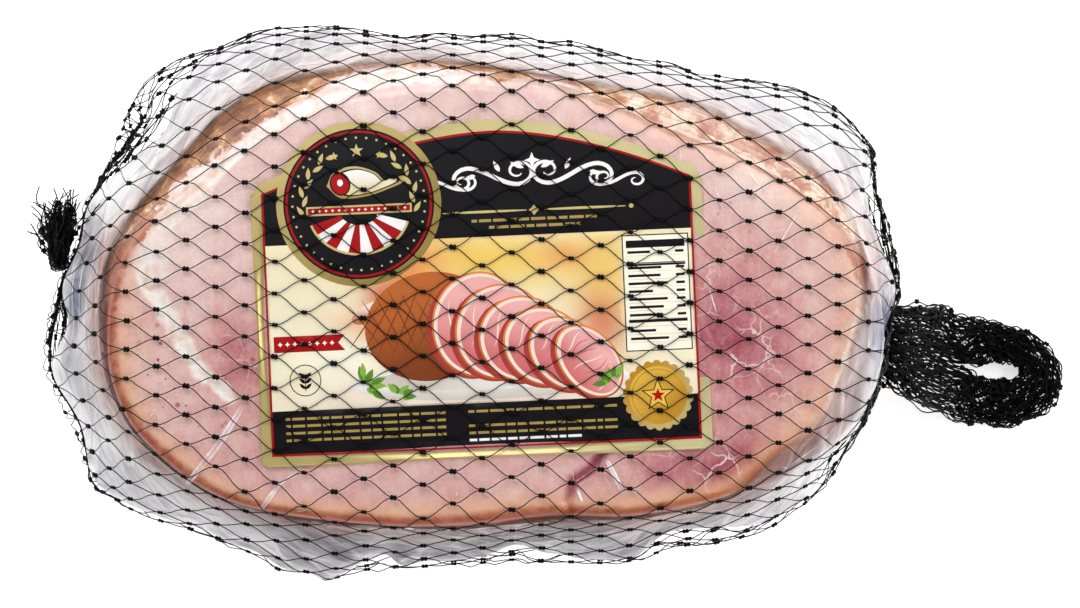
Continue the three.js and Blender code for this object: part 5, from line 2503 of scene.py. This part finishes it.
    def ribbon(self) -> list[Field]:
        """A forked red ribbon with pale dots.

        Returns:
            The fields, from the lowest up.
        """
        left, right, low, high = -73.0, -48.0, 40.0, 45.6
        middle = (low + high) / 2
        shape = [[left, low], [right, low], [right - 2.4, middle], [right, high], [left, high]]
        fields = [inked(np.array(shape), Ink.RED)]
        for k in range(8):
            fields.append(inked(star(left + 2.2 + 2.6 * k, middle, 0.9, 4, 0.5), Ink.IVORY))
        return fields

    def stamp(self) -> list[Field]:
        """A small round stamp: a thin ring about a leafy twig.

        Returns:
            The fields, from the lowest up.
        """
        x, y = -62.5, 30.0
        fields = [inked(disc(x, y, 5.6), Ink.BLACK), inked(disc(x, y, 5.25), Ink.CREAM)]
        fields.append(inked(box(x - 0.15, y - 3.8, x + 0.15, y + 2.0), Ink.BLACK))
        for k in range(3):
            for side in (-1, 1):
                shape = leaf(0, 0, 42, 3.0, 1.2) * np.array([side, 1.0])
                fields.append(inked(shape + [x, y - 3.0 + 1.9 * k], Ink.BLACK))
        return fields


@dataclass(frozen=True)
class PrintedLabel:
    """The sheet label, stuck on the film over the cut face and turned a little with the pack."""

    art: LabelArt = LabelArt()
    foot: Pair = (5.3, -55.4)
    turn: float = 2.5
    over_face: float = 0.6
    thick: float = 0.22
    mesh_step: float = 3.0
    picture_step: float = 1.7
    ripple: Pair = (0.12, 23.0)  # height and size
    sharp_edge: float = 40.0  # in degrees

    def grid(self) -> Array:
        """Points inside the sheet, closer together where inks fade into each other.

        Returns:
            The points.
        """
        points = []
        areas = ((self.mesh_step, (-78, 1, 78, 118)), (self.picture_step, (-74, 20, 50, 77)))
        for step, (left, low, right, high) in areas:
            across, up = np.meshgrid(np.arange(left, right, step), np.arange(low, high, step))
            points.append(np.c_[across.ravel(), up.ravel()])
        points = np.vstack(points)
        inside = inked(self.art.panel(0.0, 0.0), Ink.GOLD).holds(points)
        return points[inside]

    def triangles(self, fields: Sequence[Field]) -> tuple[Array, Array, Array]:
        """The sheet cut along every field's outline.

        Args:
            fields: The fields, from the lowest to the topmost.

        Returns:
            The points, the triangles, and each triangle's topmost field.
        """
        points, edges, start = [], [], 0
        for field in fields:
            count = len(field.outline)
            k = np.arange(count)
            points.append(field.outline)
            edges += (start + np.stack([k, np.roll(k, -1)], axis=1)).tolist()
            start += count
        points.append(self.grid())
        flat = [Vector(place) for place in np.vstack(points).tolist()]
        cut = geometry.delaunay_2d_cdt(flat, edges, [], 0, 1e-4)
        places, faces = np.array(cut[0]), np.array(cut[2])
        middles = places[faces].mean(axis=1)
        top = np.full(len(faces), -1)
        for k, field in enumerate(fields):
            top[field.holds(middles)] = k
        return places, faces[top >= 0], top[top >= 0]

    def build(self, finish: PrintedSheet) -> Piece:
        """Makes the label's mesh with its inks and dresses it.

        Args:
            finish: What it is dressed in.

        Returns:
            The label.
        """
        fields = self.art.fields()
        places, faces, top = self.triangles(fields)
        used, faces = np.unique(faces, return_inverse=True)
        places, faces = places[used], faces.reshape(-1, 3)
        plan = turned(places, self.turn) + np.array(self.foot)
        ripple = self.ripple[0] * unevenness(np.c_[plan, 0 * plan[:, 0]], self.ripple[1], 6.0)
        height = FORM.face_height(plan) + self.over_face + ripple
        sheet = new_object("label_print", np.c_[plan, height], faces)
        corners = places[faces.ravel()]
        inks = np.zeros((len(corners), 5))
        for k in np.unique(top):
            mine = np.repeat(top == k, 3)
            inks[mine] = fields[k].wash.at(corners[mine])
        give(sheet, "ink", inks[:, :4], "CORNER")
        give(sheet, "foil", inks[:, 4], "CORNER")
        sheet.data.materials.append(finish.material())
        shell = sheet.modifiers.new("sheet_thickness", "SOLIDIFY")
        shell.thickness = self.thick * MILLIMETRE
        shell.offset = -1.0
        ready = sheet.evaluated_get(bpy.context.evaluated_depsgraph_get())
        solid = bpy.data.meshes.new_from_object(ready)
        solid.set_sharp_from_angle(angle=math.radians(self.sharp_edge))
        sheet.modifiers.clear()
        sheet.data = solid
        return sheet


# ---- The handle and the tuft ----


@dataclass(frozen=True)
class HandleLoop:
    """The net's bunched end: strands that run down a neck, round a loop and back."""

    strands: int = 80
    strand: float = 0.26
    root: Pair = (147.5, -14.8)
    root_height: float = 50.0
    root_width: float = 24.0
    neck_width: float = 38.0
    centre: Pair = (185.4, -26.6)
    length: float = 49.5
    width: float = 35.8
    turn: float = -8.0
    shoulders: tuple[Bump, ...] = bumps((130, 5.0, 18), (-132, 2.0, 18))
    gap_centre: Pair = (187.3, -25.4)
    gap_length: float = 20.0
    gap_width: float = 7.0
    thick: float = 9.0
    landing: float = 181.0  # where the handle comes down to the floor
    neck_length: float = 26.0
    neck_start: float = -3.0  # from the root, inside the pack
    loop_from: Pair = (128.0, 44.0)  # degrees at the outer edge, and how many more at the gap
    loop_to: Pair = (-130.0, -42.0)
    path_steps: int = 110
    waves: Pair = (7.0, 12.0)  # of a strand along its path
    swing: Pair = (0.9, 0.5)  # of its long and its short waves
    knots_each: int = 6
    seed: int = 11

    def height(self, x: Array) -> Array:
        """Height of the handle's middle along its fall to the floor."""
        share = smooth(self.landing - x, 0.0, self.landing - self.root[0])
        return mix(self.thick / 2 + 0.3, self.root_height, share)

    def loop_place(self, angle: Array, out: float) -> Array:
        """A place on the loop in plan, from its gap's edge at -1 to its outer edge at 1.

        Args:
            angle: Directions on the loop, in radians.
            out: From -1 to 1.

        Returns:
            Places in plan.
        """
        heading = angle + math.radians(self.turn)
        reach = oval_radius(angle, self.length, self.width, 2.1) + bumps_at(angle, self.shoulders)
        gap = oval_radius(heading, self.gap_length, self.gap_width, 2.0)
        inner, outer = polar(heading, gap) + self.gap_centre, polar(heading, reach) + self.centre
        return mix(inner, outer, (out + 1) / 2)

    def neck_place(self, share: float, aside: float) -> Array:
        """A place on the neck in plan, at a share of its length and so far to its side.

        Args:
            share: The share.
            aside: From -1 to 1.

        Returns:
            The place.
        """
        root, centre = np.array(self.root), np.array(self.centre)
        along = (centre - root) / np.linalg.norm(centre - root)
        side = np.array([-along[1], along[0]])
        half = mix(self.root_width, self.neck_width, smooth(np.array(share), 0.0, 0.75)) / 2
        return root + along * (share * self.neck_length + self.neck_start) + side * aside * half

    def path(self, draw: np.random.Generator, share: float) -> Array:
        """One strand's path down the neck, round the loop and back, from the gap's side out to 1.

        Args:
            draw: The random draws.
            share: How far out it starts, from 0 to 1.

        Returns:
            The path's points.
        """
        out = float(np.clip(2 * share - 1 + draw.normal(0, 0.02), -1, 1))
        up = draw.uniform(-1, 1) * math.sqrt(max(0.0, 1 - 0.7 * out**2))
        near = (out + 1) / 2 * draw.uniform(0.85, 1.0)
        cross = draw.uniform(-0.25, 0.25)
        first, last = (base + more * (1 - share) for base, more in (self.loop_from, self.loop_to))
        angles = np.radians(np.linspace(first, last, 13))
        legs = [self.neck_place(down, near + cross * (1 - down)) for down in (0.0, 0.35, 0.7)]
        back = [self.neck_place(down, -near + cross * (1 - down)) for down in (0.7, 0.35, 0.0)]
        plan = through(np.vstack([legs, self.loop_place(angles, out), back]), self.path_steps)
        step = np.linspace(0, 1, len(plan))
        waves = draw.uniform(*self.waves)
        start = draw.uniform(0, 2 * np.pi)
        long = self.swing[0] * np.sin(2 * np.pi * waves * step + start)
        swing = long + self.swing[1] * np.sin(2 * np.pi * 2.3 * waves * step)
        plan = plan + sideways(plan) * swing[:, None]
        lift = (self.thick / 2 - 0.6) * up + 0.7 * np.cos(2 * np.pi * waves * 0.8 * step + start)
        height = np.maximum(self.height(plan[:, 0]) + lift, self.strand + 0.1)
        return np.c_[plan, height]

    def build(self, kit: NetKit) -> list[Piece]:
        """Makes the loop's strands and its knots.

        Args:
            kit: What net pieces are made with.

        Returns:
            The strands and the knots.
        """
        draw = np.random.default_rng(self.seed)
        shares = (np.arange(self.strands) + 0.5) / self.strands
        paths = [self.path(draw, share) for share in shares]
        strands = kit.tubes("handle_strands", paths, self.strand, 4)
        places, pulls = [], []
        for path in paths:
            picks = draw.choice(np.arange(4, len(path) - 4), self.knots_each, replace=False)
            places.append(path[picks])
            pulls.append(path[picks + 1] - path[picks - 1])
        up = np.tile([0.0, 0.0, 1.0], (len(np.vstack(places)), 1))
        knots = kit.lumps("handle_knots", np.vstack(places), np.vstack(pulls), up, self.seed)
        return [strands, knots]


@dataclass(frozen=True)
class NetTuft:
    """The net's other end: tied, cut, and standing up in a brush of loose ends."""

    strands: int = 150
    strand: float = 0.22
    root: Triple = (-147.0, 14.0, 58.0)
    fan: Pair = (70.0, 128.0)
    reach: Pair = (25.5, 18.5)
    climb: Pair = (30.0, 14.0)
    bundle: float = 1.3  # how far the ends stand apart at the tie
    path_steps: int = 16
    frizz: Pair = (0.35, 4.0)  # height and size
    wraps: int = 7
    wrap_radius: float = 3.3
    wrap_heading: float = 105.0
    wrap_height: float = 4.5
    seed: int = 23

    def path(self, draw: np.random.Generator) -> Array:
        """One loose end from the tie to its tip.

        Args:
            draw: The random draws.

        Returns:
            The end's points.
        """
        share = draw.beta(1.2, 2.6)
        heading = math.radians(mix(self.fan[0], self.fan[1], share))
        size = draw.uniform(0.55, 1.0)
        length = mix(self.reach[0], self.reach[1], share) * size
        climb = mix(self.climb[0], self.climb[1], share) * size * draw.uniform(0.75, 1.05)
        tip = np.array([length * math.cos(heading), length * math.sin(heading), climb])
        side = np.array([-math.sin(heading), math.cos(heading), 0.0])
        spread = draw.normal(0, 1.0, 3) * self.bundle
        rows = ((-0.04, 0.9, 0.0), (0.18, 1.2, 0.0), (0.5, 1.4, 0.8), (0.8, 1.6, 1.3), (1.0, 1.8, 2.0))
        corners = [
            along * tip + wide * spread + (side * draw.normal(0, stray) if stray else 0.0)
            for along, wide, stray in rows
        ]
        path = through(np.array(corners), self.path_steps) + np.array(self.root)
        depth, width = self.frizz
        sway = [unevenness(path, width, draw.uniform(0, 50)) for _ in range(3)]
        return path + depth * np.stack(sway, axis=1)

    def tie(self) -> Array:
        """The turns of strand that bind the bundle.

        Returns:
            The path's points.
        """
        turn = np.linspace(0, 2 * np.pi * self.wraps, 20 * self.wraps)
        heading = math.radians(self.wrap_heading)
        along = np.array([math.cos(heading) * 0.62, math.sin(heading) * 0.62, 0.78])
        side = np.array([-math.sin(heading), math.cos(heading), 0.0])
        third = np.cross(along, side)
        radius = self.wrap_radius + 0.25 * np.sin(3.1 * turn)
        rise = (turn / turn[-1] - 0.5) * self.wrap_height
        ring = np.cos(turn)[:, None] * side + np.sin(turn)[:, None] * third
        return np.array(self.root) + ring * radius[:, None] + rise[:, None] * along

    def build(self, kit: NetKit) -> list[Piece]:
        """Makes the loose ends with their tie, and the knots among them.

        Args:
            kit: What net pieces are made with.

        Returns:
            The strands and the knots.
        """
        draw = np.random.default_rng(self.seed)
        paths = [self.path(draw) for _ in range(self.strands)]
        strands = kit.tubes("tuft_strands", paths + [self.tie()], self.strand, 4)
        picks = [int(draw.integers(2, 12)) for _ in paths]
        places = np.array([path[pick] for path, pick in zip(paths, picks)])
        pulls = np.array([path[pick + 1] - path[pick - 1] for path, pick in zip(paths, picks)])
        up = np.tile([0.0, 0.0, 1.0], (len(places), 1))
        return [strands, kit.lumps("tuft_knots", places, pulls, up, self.seed)]


# ---- The studio ----


@dataclass(frozen=True)
class Studio:
    """A white floor, soft lights and a camera that looks straight down on the pack."""

    frame_width: float = 0.3803  # what the camera sees across, at the aim's height
    camera_height: float = 5.0  # over the aim
    aim: Triple = (-0.0006, -0.0009, 0.095)
    sensor: float = 36.0
    clip: Pair = (0.5, 20.0)
    floor_half: float = 3.0  # half its side, in metres
    floor_glow: float = 0.6  # keeps it white under the pack's shadow
    near_glow: float = 0.55  # how bright the room is on the near side and on the far side
    far_glow: float = 0.95
    overhead: tuple[tuple[float, ...], ...] = ((1.0, 1.0, 1.0, 1.0), (0.25, 0.25, 0.26, 1.0))
    lights: tuple[tuple[str, Triple, Pair, float], ...] = (  # name, place, size in metres, power in watts
        ("key_softbox", (-0.45, 0.95, 1.35), (0.9, 0.9), 12.2),
        ("side_strip", (1.25, 0.0, 0.75), (0.5, 1.2), 8.2),
        ("near_fill", (0.1, -1.2, 1.1), (1.4, 0.5), 2.5),
    )

    def floor(self) -> None:
        """A wide pale floor under the pack."""
        half = self.floor_half
        mesh = bpy.data.meshes.new("floor")
        corners = [(-half, -half, 0), (half, -half, 0), (half, half, 0), (-half, half, 0)]
        mesh.from_pydata(corners, [], [(0, 1, 2, 3)])
        made = linked("floor", mesh)
        s = Shading(new_material("white_paper_sweep"))
        colour = s.add(Kind.RAMP, s.grain(400.0), ((0.3, "#F4F4F4"), (0.7, "#FAFAFA")))
        glow = {"Emission_Color": (1.0, 1.0, 1.0, 1.0), "Emission_Strength": self.floor_glow}
        mesh.materials.append(s.done(s.add(Kind.SURFACE, colour, 0.9, **glow)))

    def light(self, name: str, place: Sequence[float], size: Pair, power: float) -> None:
        """A soft box aimed at the pack.

        Args:
            name: Its name.
            place: Where it stands, in metres.
            size: Its sides.
            power: Its power in watts.
        """
        lamp = bpy.data.lights.new(name, "AREA")
        lamp.shape = "RECTANGLE"
        lamp.size, lamp.size_y = size
        lamp.energy = power
        made = linked(name, lamp)
        made.location = place
        made.rotation_euler = (Vector(self.aim) - Vector(place)).to_track_quat("-Z", "Y").to_euler()

    def sky(self) -> None:
        """A white room, brighter on the far side, darker straight overhead so that flat gloss stays deep."""
        world = bpy.data.worlds.new("white_room")
        bpy.context.scene.world = world
        world.use_nodes = True
        tree = world.node_tree
        tree.nodes.clear()
        way = add_node(tree, "ShaderNodeTexCoord")
        split = add_node(tree, "ShaderNodeSeparateXYZ", Vector=way.outputs["Generated"])
        ramp = add_node(tree, "ShaderNodeValToRGB", Fac=split.outputs["Z"])
        for element, at, glow in zip(ramp.color_ramp.elements, (0.55, 0.95), self.overhead):
            element.position, element.color = at, glow
        far = add_node(
            tree, "ShaderNodeMapRange", Value=split.outputs["Y"], From_Min=-1.0, From_Max=0.8,
            To_Min=self.near_glow, To_Max=self.far_glow,
        )
        room = add_node(tree, "ShaderNodeBackground", i0=ramp.outputs["Color"], Strength=far.outputs[0])
        add_node(tree, "ShaderNodeOutputWorld", Surface=room.outputs[0])

    def camera(self) -> None:
        """A long lens straight above, so that the pack keeps one scale at all its heights."""
        lens = bpy.data.cameras.new("camera")
        lens.sensor_width = self.sensor
        lens.lens = self.sensor * self.camera_height / self.frame_width
        lens.clip_start, lens.clip_end = self.clip
        made = linked("camera", lens)
        made.location = Vector(self.aim) + Vector((0.0, 0.0, self.camera_height))
        bpy.context.scene.camera = made

    def build(self) -> None:
        """Sets up the whole studio."""
        self.floor()
        self.sky()
        for box_light in self.lights:
            self.light(*box_light)
        self.camera()
        bpy.context.scene.view_settings.view_transform = "Standard"


def main() -> None:
    """Builds the ham, its film, label and net, and the studio round them."""
    logging.basicConfig(level=logging.INFO, format="%(name)s %(message)s")
    Studio().build()
    settle(HamMeat().build(CuredMeat()), "ham_in_film", "ham_pack")
    film = FilmBag().build(BagFilm())
    settle(film, "ham_in_film", "ham_pack")
    settle(FilmCreases().build(film), "ham_in_film", "ham_pack")
    settle(PrintedLabel().build(PrintedSheet()), "label_sheet", "label")
    kit = NetKit(strand_tree(), knot_tree(), Knot().build(), BlackTwine().material())
    for piece in PackNet().build(kit, tree_of(film)):
        settle(piece, "net", "ham_pack")
    for piece in HandleLoop().build(kit):
        settle(piece, "net", "net_handle")
    for piece in NetTuft().build(kit):
        settle(piece, "net", "net_tuft")
    bpy.data.objects.remove(kit.knot)


if __name__ == "__main__":
    main()
